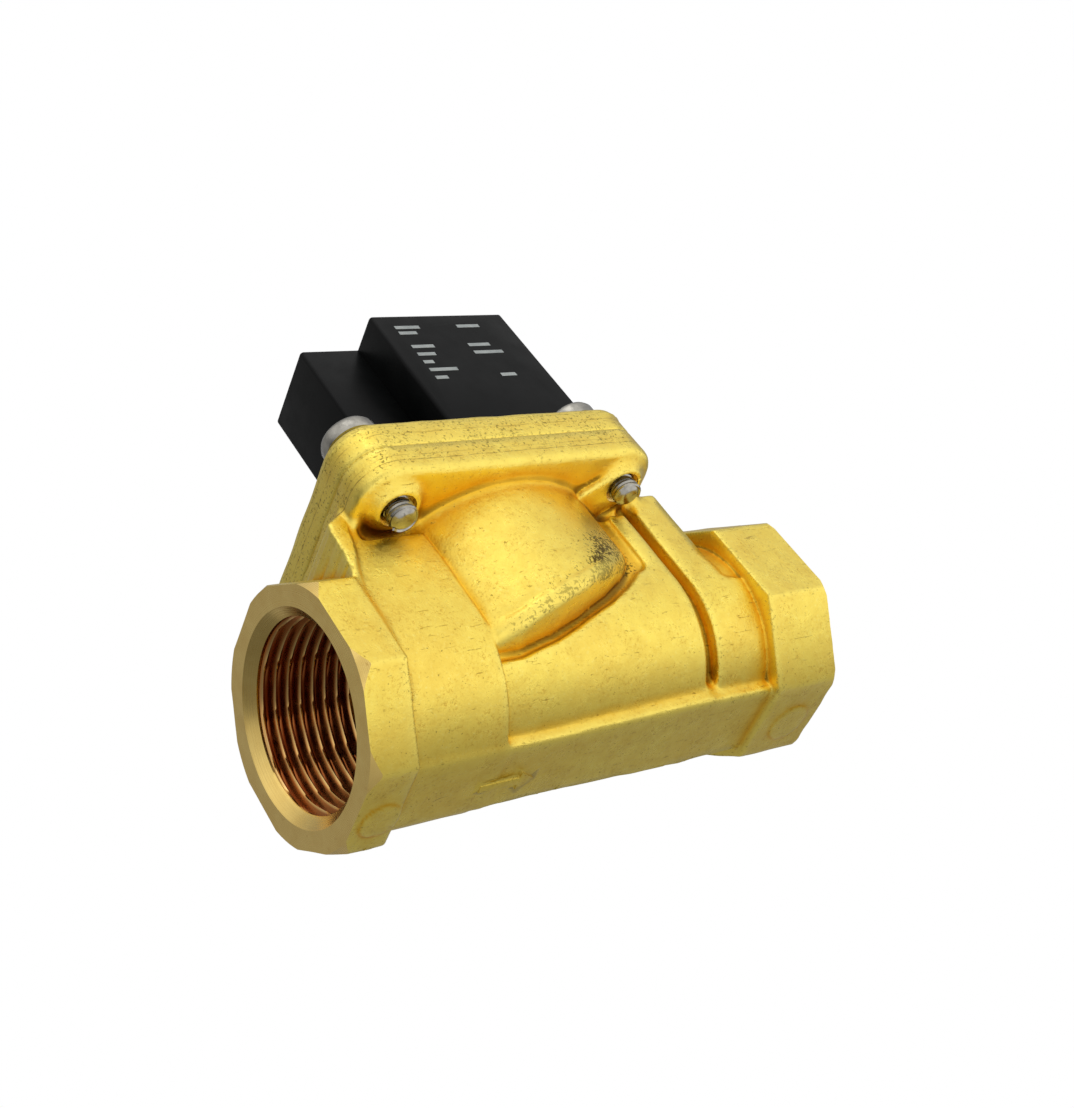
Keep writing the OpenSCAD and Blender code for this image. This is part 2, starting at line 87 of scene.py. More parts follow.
# bars of print on the coil's side, as (left, right, height above the coil's foot)
PRINT = ((42.2, 46.6, 25.6), (42.2, 45.4, 24.2), (53.6, 57.8, 25.6), (42.6, 46.6, 20.8), (42.6, 45.8, 18.9),
         (42.6, 44.4, 17.0), (42.6, 47.6, 15.1), (42.6, 44.8, 13.2), (53.0, 57.0, 20.8), (53.0, 58.4, 18.9),
         (54.6, 57.4, 13.2))
# for chamfers at 45 degrees
COS_45 = 0.7071
WHITE = (1.0, 1.0, 1.0, 1.0)

# Short names of the node types used most: type, order of the inputs, settings
SHORT = {
    "Mix": ("ShaderNodeMix", (0, 6, 7), {"data_type": "RGBA"}),
    "Noise": ("ShaderNodeTexNoise", ("Vector", "Scale", "Detail", "Roughness", "Distortion"), {}),
    "Ramp": ("ShaderNodeValToRGB", ("Fac",), {}),
    "Map": ("ShaderNodeMapRange", ("Value", "From Min", "From Max", "To Min", "To Max"), {}),
}
for sign in ("ADD", "SUBTRACT", "MULTIPLY", "DIVIDE", "MAXIMUM", "ABSOLUTE"):
    SHORT[sign] = ("ShaderNodeMath", (0, 1), {"operation": sign})


def linear(code):
    """sRGB hex code as a linear colour"""
    parts = [int(code[i:i + 2], 16) / 255 for i in (0, 2, 4)]
    return tuple(c / 12.92 if c < 0.04045 else ((c + 0.055) / 1.055) ** 2.4 for c in parts) + (1.0,)


def add(tree, kind, inputs=(), stops=(), **settings):
    """adds a node; its inputs, in a dictionary or in the order of SHORT, are values, outputs or nodes"""
    kind, order, own = SHORT.get(kind, (kind, (), {}))
    made = tree.nodes.new(kind)
    for name, value in {**own, **settings}.items():
        setattr(made, name, value)
    if not isinstance(inputs, (dict, tuple)):
        inputs = (inputs,)
    pairs = inputs.items() if isinstance(inputs, dict) else zip(order, inputs)
    for name, value in pairs:
        if isinstance(value, bpy.types.Node):
            value = value.outputs[2 if value.bl_idname == "ShaderNodeMix" else 0]
        if isinstance(value, bpy.types.NodeSocket):
            tree.links.new(value, made.inputs[name])
        else:
            made.inputs[name].default_value = value
    if stops:
        # colour stops are (place, grey value or colour)
        marks = made.color_ramp.elements
        while len(marks) < len(stops):
            marks.new(0.5)
        for mark, (place, value) in zip(marks, stops):
            mark.position = place
            mark.color = value if isinstance(value, tuple) else (value, value, value, 1.0)
    return made


def new_material(name):
    """empty material, the function that adds to it, and object coordinates in millimetres"""
    made = bpy.data.materials.new(name)
    made.use_nodes = True
    tree = made.node_tree
    tree.nodes.clear()
    put = partial(add, tree)
    place = put("ShaderNodeTexCoord")
    mm = put("ShaderNodeVectorMath", {0: place.outputs["Object"], "Scale": 1000.0}, operation="SCALE")
    return made, put, mm.outputs[0]


# Camera and stage

def make_camera():
    """camera below and left of the valve, as the photograph was taken"""
    lens = bpy.data.cameras.new("camera")
    lens.sensor_width = 36.0
    lens.sensor_fit = "AUTO"
    lens.lens = 55.214
    lens.shift_x = -0.01833
    lens.shift_y = -0.05057
    lens.clip_start = 0.01
    lens.clip_end = 20.0
    made = bpy.data.objects.new("camera", lens)
    bpy.context.scene.collection.objects.link(made)
    right = (0.781649, -0.353853, -0.513628)
    up = (0.082975, -0.757180, 0.647915)
    back = (-0.618175, -0.549060, -0.562488)
    turn = Matrix((right, up, back)).transposed()
    made.matrix_world = Matrix.Translation((-0.099519, -0.143224, -0.113760)) @ turn.to_4x4()
    bpy.context.scene.camera = made


def make_lamp(name, place, aim, size, watts):
    """soft square lamp"""
    data = bpy.data.lights.new(name, "AREA")
    data.shape = "RECTANGLE"
    data.size = size[0]
    data.size_y = size[1]
    data.energy = watts
    made = bpy.data.objects.new(name, data)
    bpy.context.scene.collection.objects.link(made)
    made.location = place
    made.rotation_euler = (Vector(aim) - Vector(place)).to_track_quat("-Z", "Y").to_euler()


def make_world():
    """white for the camera; for the metal a studio that is bright in front"""
    world = bpy.data.worlds.new("studio")
    bpy.context.scene.world = world
    world.use_nodes = True
    tree = world.node_tree
    tree.nodes.clear()
    put = partial(add, tree)
    way = put("ShaderNodeTexCoord").outputs["Generated"]
    # a wide soft box in front, grey behind, and dark to the left, where the bores look
    glow = 0.36
    for toward, low, high, level in (((-0.17, -0.98, 0.1), -0.3, 0.85, 0.74),
                                     ((-0.99, -0.05, 0.0), 0.72, 0.96, -0.34)):
        facing = put("ShaderNodeVectorMath", {0: way, 1: toward}, operation="DOT_PRODUCT").outputs["Value"]
        part = put("Map", (facing, low, high, 0.0, level), interpolation_type="SMOOTHSTEP")
        glow = put("ADD", (part, glow))
    glow = put("MAXIMUM", (glow, 0.03))
    light = put("ShaderNodeBackground", {"Color": WHITE, "Strength": glow})
    white = put("ShaderNodeBackground", {"Color": WHITE, "Strength": 1.0})
    seen = put("ShaderNodeLightPath").outputs["Is Camera Ray"]
    both = put("ShaderNodeMixShader", {0: seen, 1: light, 2: white})
    put("ShaderNodeOutputWorld", {"Surface": both})


def make_floor():
    """pale floor under the pads; the camera looks up through it, so it has only an upper side"""
    data = bpy.data.meshes.new("floor")
    z = Z_FLOOR * MM
    data.from_pydata([(-2, -2, z), (2, -2, z), (2, 2, z), (-2, 2, z)], [], [(0, 1, 2, 3)])
    made = bpy.data.objects.new("floor", data)
    bpy.context.scene.collection.objects.link(made)
    paint, put, mm = new_material("floor_card_matte_white")
    card = put("ShaderNodeBsdfDiffuse", {"Color": linear("E6E6E4"), "Roughness": 0.5})
    white = put("ShaderNodeEmission", {"Color": WHITE, "Strength": 1.0})
    rays = put("ShaderNodeLightPath").outputs
    share = put("MULTIPLY", (rays["Is Camera Ray"], 0.55))
    top = put("ShaderNodeMixShader", {0: share, 1: card, 2: white})
    # what the metal mirrors: card that is bright in front of the valve, grey below it, darker to the left
    parts = put("ShaderNodeSeparateXYZ", {0: mm}).outputs
    pale = put("Map", (parts["Y"], -23.0, -2.0, 1.13, 0.36), interpolation_type="SMOOTHSTEP")
    back = put("Map", (parts["Y"], 6.0, 36.0, 1.0, 0.8), interpolation_type="SMOOTHSTEP")
    side = put("Map", (parts["X"], -30.0, -4.0, 0.6, 1.0), interpolation_type="SMOOTHSTEP")
    pale = put("MULTIPLY", (put("MULTIPLY", (pale, back)), side))
    shown = put("ShaderNodeEmission", {"Color": WHITE, "Strength": pale})
    share = put("MAXIMUM", (rays["Is Glossy Ray"], rays["Is Transmission Ray"]))
    top = put("ShaderNodeMixShader", {0: share, 1: top, 2: shown})
    clear = put("ShaderNodeBsdfTransparent")
    below = put("ShaderNodeNewGeometry").outputs["Backfacing"]
    both = put("ShaderNodeMixShader", {0: below, 1: top, 2: clear})
    put("ShaderNodeOutputMaterial", {"Surface": both})
    data.materials.append(paint)


# Materials, each named for what it is made of and how its surface was made

def forged_brass():
    """hot forged and shot blasted brass: satin yellow, with painted shade in hollows and painted highlights
    on edges, small dark scars
    """
    made, put, mm = new_material("brass_forged_blasted")
    broad = put("Noise", (mm, 0.09, 2.0))
    cloud = put("Noise", (mm, 0.55, 4.0, 0.6))
    base = put("Mix", (put("Ramp", broad, ((0.35, 0.0), (0.65, 1.0))), linear("F6D760"), linear("FAE066")))
    base = put("Mix", (put("Ramp", cloud, ((0.42, 0.0), (0.62, 0.22))), base, linear("E3BC48")))
    # mottle of 0.2 to 0.6 mm left by the blasting grit, in patches
    mottle = put("Noise", (mm, 2.2, 5.0, 0.72, 0.3))
    patches = put("Ramp", put("Noise", (mm, 0.25, 3.0, 0.6)), ((0.42, 0.25), (0.60, 1.0)))
    dull = put("MULTIPLY", (patches, put("Ramp", mottle, ((0.34, 0.60), (0.48, 0.0)))))
    base = put("Mix", (dull, base, linear("C2922E")))
    base = put("Mix", (put("Ramp", mottle, ((0.56, 0.0), (0.70, 0.45))), base, linear("FFF290")))
    hollow = put("ShaderNodeAttribute", attribute_name="hollow").outputs["Fac"]
    ridge = put("ShaderNodeAttribute", attribute_name="ridge").outputs["Fac"]
    scale = put("ShaderNodeAttribute", attribute_name="scale_patch").outputs["Fac"]
    # painted shade and painted bounce light in hollows: a deeper orange, brown where it is deepest
    base = put("Mix", (put("Ramp", hollow, ((0.0, 0.0), (0.6, 0.75))), base, linear("EFB41A")))
    base = put("Mix", (put("Ramp", hollow, ((0.75, 0.0), (1.0, 0.8))), base, linear("63430F")))
    # brown scale left in flecks of 0.2 to 0.6 mm, mostly on sharp edges
    flecks = put("Noise", (mm, 2.3, 5.0, 0.62, 0.25))
    bias = put("MULTIPLY", (scale, put("ADD", (put("MULTIPLY", (patches, 0.10)), 0.09))))
    flecks = put("Ramp", put("ADD", (flecks, bias)), ((0.645, 0.0), (0.70, 1.0)))
    depth = put("MULTIPLY", (flecks, put("ADD", (put("MULTIPLY", (scale, 0.40)), 0.45))))
    base = put("Mix", (depth, base, linear("4E3A12")))
    # short dents and scratches from tumbling against other forgings
    dents = None
    for turn, thin in (((0.6, 0.3, 0.9), 2.6), ((0.2, 1.1, -0.7), 2.1)):
        bent = put("ShaderNodeMapping", {"Vector": mm, "Rotation": turn, "Scale": (0.28, thin, thin)})
        lines = put("Ramp", put("Noise", (bent, 0.8, 4.0, 0.7, 0.8)), ((0.665, 0.0), (0.70, 1.0)))
        dents = lines if dents is None else put("MAXIMUM", (dents, lines))
    base = put("Mix", (put("MULTIPLY", (dents, 0.45)), base, linear("8A6220")))
    # trimming lines that the die left along the flange and the cover
    rim = put("ShaderNodeAttribute", attribute_name="rim").outputs["Fac"]
    parts = put("ShaderNodeSeparateXYZ", {0: mm})
    level = put("ADD", (parts.outputs["Z"], put("MULTIPLY", (put("Noise", (mm, 0.35, 3.0)), 0.5))))
    lines = None
    for height, share in ((18.3, 0.75), (19.2, 0.3), (23.4, 0.4), (24.9, 0.5)):
        off = put("ABSOLUTE", put("SUBTRACT", (level, height)))
        line = put("MULTIPLY", (put("Ramp", off, ((0.03, 1.0), (0.13, 0.0))), share))
        lines = line if lines is None else put("MAXIMUM", (lines, line))
    lines = put("MULTIPLY", (lines, put("Ramp", cloud, ((0.38, 0.15), (0.55, 1.0)))))
    base = put("Mix", (put("MULTIPLY", (lines, rim)), base, linear("7A5A1E")))
    # painted highlight on convex edges
    base = put("Mix", (put("MULTIPLY", (ridge, 0.6)), base, linear("FFE872")))
    rough = put("Map", (cloud, 0.3, 0.7, 0.25, 0.37))
    rough = put("ADD", (rough, put("MULTIPLY", (flecks, 0.2))))
    rough = put("ADD", (rough, put("MULTIPLY", (hollow, 0.12))), use_clamp=True)
    # blasted grain of 0.3 mm, coarser than the real 0.1 mm so that it shows
    grain = put("Noise", (mm, 3.8, 3.0, 0.6, 0.5))
    relief = put("MULTIPLY", (grain, 0.05))
    relief = put("ADD", (relief, put("MULTIPLY", (mottle, put("MULTIPLY", (patches, 0.09))))))
    relief = put("SUBTRACT", (relief, put("MULTIPLY", (dents, 0.05))))
    relief = put("SUBTRACT", (relief, put("MULTIPLY", (flecks, 0.02))))
    bump = put("ShaderNodeBump", {"Height": relief, "Distance": 0.001, "Strength": 0.8})
    skin = put("ShaderNodeBsdfPrincipled",
               {"Base Color": base, "Roughness": rough, "Normal": bump, "Metallic": 1.0})
    put("ShaderNodeOutputMaterial", {"Surface": skin})
    return made


def turned_brass(name, middle=(0.0, 0.0, 0.0), along="X"):
    """machined brass: paler, with fine rings left by the tool"""
    made, put, mm = new_material(name)
    off = put("ShaderNodeVectorMath", {0: mm, 1: middle}, operation="SUBTRACT")
    flat = (0.0, 1.0, 1.0) if along == "X" else (1.0, 1.0, 0.0)
    flat = put("ShaderNodeVectorMath", {0: off, 1: flat}, operation="MULTIPLY")
    radius = put("ShaderNodeVectorMath", {0: flat}, operation="LENGTH").outputs["Value"]
    depth = put("ShaderNodeSeparateXYZ", {0: off}).outputs[along]
    where = put("ShaderNodeCombineXYZ", {"X": radius, "Y": depth})
    # feed marks 0.12 mm apart, about 0.15 mm so that they show
    rings = put("Noise", (where, 6.5, 1.0))
    broad = put("Noise", (mm, 0.35, 3.0, 0.6))
    base = put("Mix", (put("Ramp", broad, ((0.35, 0.0), (0.7, 1.0))), linear("E9C672"), linear("F2D27E")))
    stain = put("Ramp", put("Noise", (mm, 0.8, 5.0, 0.7)), ((0.62, 0.0), (0.75, 0.5)))
    base = put("Mix", (stain, base, linear("B98840")))
    rough = put("Map", (rings, 0.3, 0.7, 0.2, 0.33))
    bump = put("ShaderNodeBump", {"Height": rings, "Distance": 0.00002, "Strength": 0.6})
    skin = put("ShaderNodeBsdfPrincipled",
               {"Base Color": base, "Roughness": rough, "Normal": bump, "Metallic": 1.0})
    put("ShaderNodeOutputMaterial", {"Surface": skin})
    return made


def threaded_brass():
    """cut pipe thread: pale crests with a painted highlight, grooves darkened by depth with painted shade"""
    made, put, mm = new_material("brass_thread_cut_painted_shade")
    flat = put("ShaderNodeVectorMath", {0: mm, 1: (0.0, 1.0, 1.0)}, operation="MULTIPLY")
    radius = put("ShaderNodeVectorMath", {0: flat}, operation="LENGTH").outputs["Value"]
    # crests pale as a painted highlight, grooves darker as painted shade, by radius
    depth = put("Map", (radius, 12.0, 13.2))
    shades = ((0.0, "FBE6AE"), (0.10, "EAC078"), (0.30, "B47038"), (1.0, "98542A"))
    base = put("Ramp", depth, [(place, linear(code)) for place, code in shades])
    wear = put("Noise", (mm, 0.8, 4.0, 0.6))
    rough = put("Map", (wear, 0.3, 0.7, 0.16, 0.28))
    skin = put("ShaderNodeBsdfPrincipled", {"Base Color": base, "Roughness": rough, "Metallic": 1.0})
    put("ShaderNodeOutputMaterial", {"Surface": skin})
    return made


def plain(name, low, high, gloss, grain, bump_mm, spots=None, ior=None):
    """cloudy colour, uneven gloss and a fine grain: a metal, or plastic and rubber if an IOR is given"""
    made, put, mm = new_material(name)
    cloud = put("Noise", (mm, 0.3 if ior else 0.5, 4.0, 0.6))
    fine = put("Noise", (mm, grain, 3.0, 0.65 if ior else 0.6))
    share = put("Ramp", cloud, ((0.35, 0.0), (0.65, 1.0)))
    base = put("Mix", (share, linear(low), linear(high)))
    if spots:
        where = put("Ramp", put("Noise", (mm, 1.3, 5.0, 0.7)), ((0.60, 0.0), (0.72, 0.7)))
        base = put("Mix", (where, base, linear(spots)))
    rough = put("Map", (cloud if ior else fine, 0.3, 0.7, *gloss))
    bump = put("ShaderNodeBump", {"Height": fine, "Distance": bump_mm * MM, "Strength": 1.0})
    kind = {"IOR": ior} if ior else {"Metallic": 1.0}
    skin = put("ShaderNodeBsdfPrincipled",
               {"Base Color": base, "Roughness": rough, "Normal": bump, **kind})
    put("ShaderNodeOutputMaterial", {"Surface": skin})
    return made


# Shapes as distance fields: below zero inside, in millimetres

def soft_min(a, b, k):
    """joins two shapes with a fillet about k wide"""
    h = np.maximum(k - np.abs(a - b), 0.0) / k
    return np.minimum(a, b) - h * h * (k / 4)


def soft_max(a, b, k):
    """keeps what two shapes share, with an edge rounded about k wide"""
    return -soft_min(-a, -b, k)


def round_plate(x, y):
    """upright prism on the cover's square with round corners"""
    qx = np.abs(x - COVER_X) - COVER_HALF + COVER_CORNER
    qy = np.abs(y) - COVER_HALF + COVER_CORNER
    past = np.hypot(np.maximum(qx, 0), np.maximum(qy, 0))
    return past + np.minimum(np.maximum(qx, qy), 0) - COVER_CORNER


def step(v, low, high):
    """0 below low, 1 above high, smooth between"""
    t = np.clip((v - low) / (high - low), 0.0, 1.0)
    return t * t * (3 - 2 * t)


def ripple(x, y, z, size):
    """slight unevenness of a worn forging die"""
    a = np.sin(0.47 * x + 0.61 * y + 1.0) * np.sin(0.53 * z - 0.29 * x + 0.4)
    b = np.sin(0.93 * x - 0.71 * z + 2.0) * np.sin(0.87 * y + 0.33 * x + 1.0)
    return size * (a + 0.6 * b)


def screw_posts(x, y):
    """distance from the nearest cover screw's axis"""
    return np.hypot(np.abs(x - COVER_X) - SCREW_AT, np.abs(y) - SCREW_AT)


def body_field(x, y, z):
    """outside of the forged body"""
    ay = np.abs(y)
    octagon = soft_max(soft_max(ay - 16, np.abs(z) - 16, 0.1), (ay + np.abs(z) - 22.83) * COS_45, 0.1)

    def trough(half, centre):
        return np.hypot(y, np.minimum(z - centre, 0)) - half

    # block behind the inlet collar, with a slanting front and a sloping top
    slant = 6.4 + np.maximum(z - 4.7, 0) * 0.186
    left = slant - x
    top = z - np.clip(17.6 + (x - 8.8) * 0.65, 17.6, 18.7)
    block = soft_max(trough(15.4, -0.2), soft_max(left, x - 20.5, 0.1), 0.5)
    block = soft_max(soft_max(block, top, 0.4), Z_STRIP - z, 0.4)
    # flash left standing along the die's edge, torn at its top
    lip_w = 0.6 + 0.9 * step(z, 5.0, 14.0)
    torn = 0.35 + 0.8 * step(z, 9.0, 16.5) + 0.12 * np.sin(4.3 * z) * np.sin(1.7 * z + 1.0)
    lip = soft_max(trough(15.7 + 0.3 * step(z, 4.0, 12.0), -0.2), left - torn, 0.2)
    lip = soft_max(lip, x - slant - lip_w, 0.35)
    lip = soft_max(lip, z - 16.6 - (x - 7.7) * 0.6, 0.2)
    lip = soft_max(lip, -10.0 - z, 0.5)
    # round chamber wall with its sloping sole
    wall = np.hypot(x - COVER_X, y) - WALL_R
    sole = np.interp(x - COVER_X, SOLE_X, SOLE_Z) - z
    up = -sole
    soft = 1.7 + 0.9 * step(x, 36.0, 46.0)
    bulge = soft_max(np.maximum(wall, z - 17.0), sole * 0.96, soft)
    # trough shaped blocks along the body, with a groove between the middle and the rear one
    middle = soft_max(trough(14.6, 0.3), np.maximum(19.5 - x, x - 54.5), 0.9)
    # crease forged into the wall above its lower edge, and the gutter in the block around it
    crease_in = np.exp(-((up - 2.6) / 0.5) ** 2) * step(x, 21.0, 23.0) * step(-x, -42.0, -36.0)
    bulge = bulge + 0.28 * crease_in
    gutter = soft_min(1.3 + 0.6 * step(x, 36.0, 47.0) - bulge, middle + 0.95, 1.3)
    middle = soft_max(middle, gutter, 0.5)
    # the groove's bottom and the pipe behind the inlet collar
    core = np.maximum(trough(12.4, 0.0), np.maximum(40.0 - x, x - 60.0))
    core = np.minimum(core, np.maximum(np.hypot(y, z) - 14.0, np.maximum(2.0 - x, x - 12.0)))
    right = 62.3 + 3.0 * step(-z, 0.3, 1.6)
    rear = soft_max(soft_max(trough(14.5, 0.1), 56.4 - x, 0.4), x - right, 0.6)
    neck = np.maximum(np.hypot(y, z) - 14.2, np.maximum(61.0 - x, x - 78.0))
    # strip that runs along the bottom and widens a little
    strip_w = 5.5 + 0.03 * np.clip(x - 28.0, 0, 27) - 0.3 * step(x, 54.0, 56.0)
    strip = soft_max(soft_max(ay - strip_w, Z_STRIP - z, 0.7), np.maximum(6.0 - x, x - 66.5), 0.3)
    strip = np.maximum(strip, z + 6)
    web = soft_min(block, middle, 0.3)
    web = soft_min(web, core, 0.6)
    web = soft_min(web, soft_max(rear, z - 17.0, 0.8), 0.4)
    web = soft_min(web, neck, 0.8)
    web = soft_min(web, strip, 0.8)
    # clearance pockets around the screw bosses
    posts = screw_posts(x, y)
    pocket = soft_max(posts - 5.8, np.maximum(13.5 - z, z - 18.0), 0.5)
    web = soft_max(web, -pocket, 0.25)
    body = soft_min(web, bulge, 0.4)
    # flange under the cover, chamfered at the seam
    plate = round_plate(x, y)
    flange = soft_max(plate, np.abs(z - 19.0) - 3.0, 1.3)
    flange = np.maximum(flange, (plate + z - 20.82) * COS_45)
    body = soft_min(body, flange, 1.5)
    # bosses narrow downwards; the ones at the outlet run on to the chamber wall
    taper = 3.0 + 1.1 * np.clip(z - 14.8, 0, 1.3)
    boss_ends = np.maximum(14.8 - z, z - 18.0)
    boss = soft_max(posts - taper, boss_ends, 0.25)
    body = soft_min(body, boss, 0.5)
    tail_x = COVER_X + SCREW_AT
    along = np.clip(((tail_x - x) * 0.82 + (SCREW_AT - ay) * 0.57) / 5.3, 0, 1)
    tail = np.hypot(x - tail_x + 4.35 * along, ay - SCREW_AT + 3.02 * along) - 3.2
    tail = soft_max(tail, boss_ends, 0.15)
    body = soft_min(body, tail, 0.3)
    body = soft_min(body, lip, 0.35)
    inlet = soft_max(octagon, np.maximum(-0.8 - x, x - 6.5), 0.3)
    outlet = soft_max(octagon, np.maximum(65.4 - x, x - 77.5), 0.3)
    body = soft_min(body, inlet, 0.15)
    body = soft_min(body, outlet, 0.3)
    for pad_x, pad_y, pad_r in PADS:
        pad = soft_max(np.hypot(x - pad_x, y - pad_y) - pad_r, -16.34 - z, 0.1)
        body = soft_min(body, np.maximum(pad, z + 14), 0.3)
    body = body + ripple(x, y, z, 0.03) * step(np.abs(z), 0.0, 12.0)
    # the flange's sides and the pads' feet end just inside the CAD box
    return np.maximum(body, np.where(z > 15.5, np.maximum(ay - SIDE, 15.0 - z), -16.28 - z))


def chamber_field(x, y, z):
    """ring chamber around the main seat, cut from the inside"""
    reach = np.hypot(x - COVER_X, y)
    sole = np.interp(x - COVER_X, SOLE_X, SOLE_Z) + 2.7 - z
    room = soft_max(np.maximum(reach - ROOM_R, z - 22.5), sole * 0.96, 2.0)
    duct = np.maximum(np.hypot(y, z) - 12.2, 24.0 - x)
    tube = np.maximum(reach - 10.6, z - 14.8)
    lip = np.maximum(reach - 9.4, z - 15.6)
    keep = soft_min(soft_min(duct, tube, 1.0), lip, 0.3)
    return soft_max(room, -keep, 0.3)


def cover_field(x, y, z):
    """outside of the cover plate with its dome and boss"""
    plate = soft_max(round_plate(x, y), z - Z_TOP, 1.5)
    plate = soft_max(plate, 20.2 - z, 0.2)
    plate = np.maximum(plate, (round_plate(x, y) + 21.18 - z) * COS_45)
    trim = 0.15 * np.exp(-((z - 24.4) / 0.2) ** 2)
    dome = soft_max(np.hypot(x - COVER_X, y) - 12.0, z - 29.5, 1.6)
    boss = soft_max(np.hypot(x - TUBE_X, y) - 10.4, z - 32.5, 0.5)
    low = 19.5 - z
    shape = soft_min(plate - trim, np.maximum(dome, low), 1.4)
    shape = soft_min(shape, np.maximum(boss, low), 1.2)
    face = soft_max(screw_posts(x, y) - 4.6, 25.8 - z, 0.3)
    shape = soft_max(shape, -face, 0.3)
    shape = shape + ripple(x, y, z, 0.03)
    return np.maximum(shape, np.maximum(np.abs(y), np.abs(x - COVER_X)) - SIDE)


def field_grid(field, low, high, cell):
    """field sampled on a grid of cubes"""
    axes = [np.arange(a, b + cell, cell, dtype=np.float32) for a, b in zip(low, high)]
    x, y, z = np.meshgrid(*axes, indexing="ij", sparse=True)
    return np.ascontiguousarray(field(x, y, z) + 0 * (x + y + z), dtype=np.float32)


def field_mesh(values, low, cell, thin=0.0):
    """points and faces of the surface where the field is zero"""
    grid = openvdb.FloatGrid(4.0)
    grid.copyFromArray(np.clip(values, -3.9, 3.9))
    points, tris, quads = grid.convertToPolygons(0.0, thin)
    points = points * cell + np.array(low, dtype=np.float32)
    faces = [tuple(int(i) for i in f) for f in tris] + [tuple(int(i) for i in f) for f in quads]
    return points, faces


def blur(values, cells):
    """moving average along each axis, twice"""
    for _ in range(2):
        for axis in range(3):
            pad = [(0, 0)] * 3
            pad[axis] = (cells + 1, cells)
            run = np.cumsum(np.pad(values, pad, mode="edge"), axis=axis, dtype=np.float64)
            n = values.shape[axis]
            high = np.take(run, range(2 * cells + 1, 2 * cells + 1 + n), axis=axis)
            low = np.take(run, range(0, n), axis=axis)
            values = ((high - low) / (2 * cells + 1)).astype(np.float32)
    return values


def sample(values, points, low, cell):
    """grid values at points, by blending the eight cells around each"""
    p = (points - np.array(low)) / cell
    p = np.clip(p, 0, np.array(values.shape) - 1.001)
    i = p.astype(int)
    f = p - i
    total = 0.0
    for dx in (0, 1):
        for dy in (0, 1):
            for dz in (0, 1):
                w = (f[:, 0] if dx else 1 - f[:, 0]) * (f[:, 1] if dy else 1 - f[:, 1])
                w = w * (f[:, 2] if dz else 1 - f[:, 2])
                total = total + w * values[i[:, 0] + dx, i[:, 1] + dy, i[:, 2] + dz]
    return total


# Meshes

@contextmanager
def editing(obj):
    """an object's mesh, open for editing and written back at the end"""
    work = bmesh.new()
    work.from_mesh(obj.data)
    yield work
    work.to_mesh(obj.data)
    work.free()


def make_piece(name, points, faces, materials, part=0):
    """mesh object from points in millimetres"""
    data = bpy.data.meshes.new(name)
    data.from_pydata([tuple(float(c) * MM for c in p) for p in points], [], faces)
    for paint in materials:
        data.materials.append(paint)
    if part:
        data.polygons.foreach_set("material_index", [part] * len(data.polygons))
    made = bpy.data.objects.new(name, data)
    bpy.context.scene.collection.objects.link(made)
    return made


def turned(name, profile, materials, part=0, steps=96, centre=(0.0, 0.0, 0.0), along="Z", wave=None):
    """solid of revolution from (place along the axis, radius) points; wave changes a radius with the turn"""
    points = []
    faces = []
    rows = [p for p in profile if p[1] > 1e-6]
    for place, radius in rows:
        for k in range(steps):
            a = 2 * math.pi * k / steps
            r = wave(place, radius, a) if wave else radius
            c, s = r * math.cos(a), r * math.sin(a)
            points.append((place, c, s) if along == "X" else (c, s, place))
    for row in range(len(rows) - 1):
        for k in range(steps):
            j = (k + 1) % steps
            faces.append((row * steps + k, row * steps + j, (row + 1) * steps + j, (row + 1) * steps + k))
    last = (len(rows) - 1) * steps
    faces.append(tuple(range(steps))[::-1])
    faces.append(tuple(last + k for k in range(steps)))
    points = [tuple(a + b for a, b in zip(p, centre)) for p in points]
    made = make_piece(name, points, faces, materials, part)
    face_out(made)
    return made


def bore(name, low, high, radius, x, materials, part=1, steps=96):
    """straight upright cutter on the valve's middle plane"""
    return turned(name, [(low, radius), (high, radius)], materials, part, steps, (x, 0, 0))


def face_out(obj):
    """merges the points of a closed mesh and turns its faces outwards"""
    with editing(obj) as work:
        bmesh.ops.remove_doubles(work, verts=work.verts, dist=1e-7)
        bmesh.ops.recalc_face_normals(work, faces=work.faces)


def prism(name, outline, low, high, materials, part=0, plane="XY"):
    """straight prism on an outline"""
    n = len(outline)
    points = []
    for level in (low, high):
        for u, v in outline:
            points.append({"XY": (u, v, level), "XZ": (u, level, v), "YZ": (level, u, v)}[plane])
    faces = [tuple(range(n))[::-1], tuple(range(n, 2 * n))]
    faces += [(k, (k + 1) % n, n + (k + 1) % n, n + k) for k in range(n)]
    made = make_piece(name, points, faces, materials, part)
    face_out(made)
    return made


def block(name, a, b, materials, part=0):
    """box from corner a to corner b"""
    return prism(name, [(a[0], a[1]), (b[0], a[1]), (b[0], b[1]), (a[0], b[1])], a[2], b[2], materials, part)


def bake(obj):
    """replaces an object's mesh by the result of its modifiers"""
    deps = bpy.context.evaluated_depsgraph_get()
    data = bpy.data.meshes.new_from_object(obj.evaluated_get(deps))
    obj.modifiers.clear()
    old = obj.data
    obj.data = data
    bpy.data.meshes.remove(old)
    data.name = obj.name


def cut(obj, cutters, operation="DIFFERENCE"):
    """cuts each cutter from a solid, or joins it, and removes the cutters"""
    for cutter in cutters:
        tool = obj.modifiers.new("cut", "BOOLEAN")
        tool.operation = operation
        tool.solver = "MANIFOLD"
        tool.object = cutter
        tool.material_mode = "INDEX"
        bake(obj)
        data = cutter.data
        bpy.data.objects.remove(cutter)
        bpy.data.meshes.remove(data)


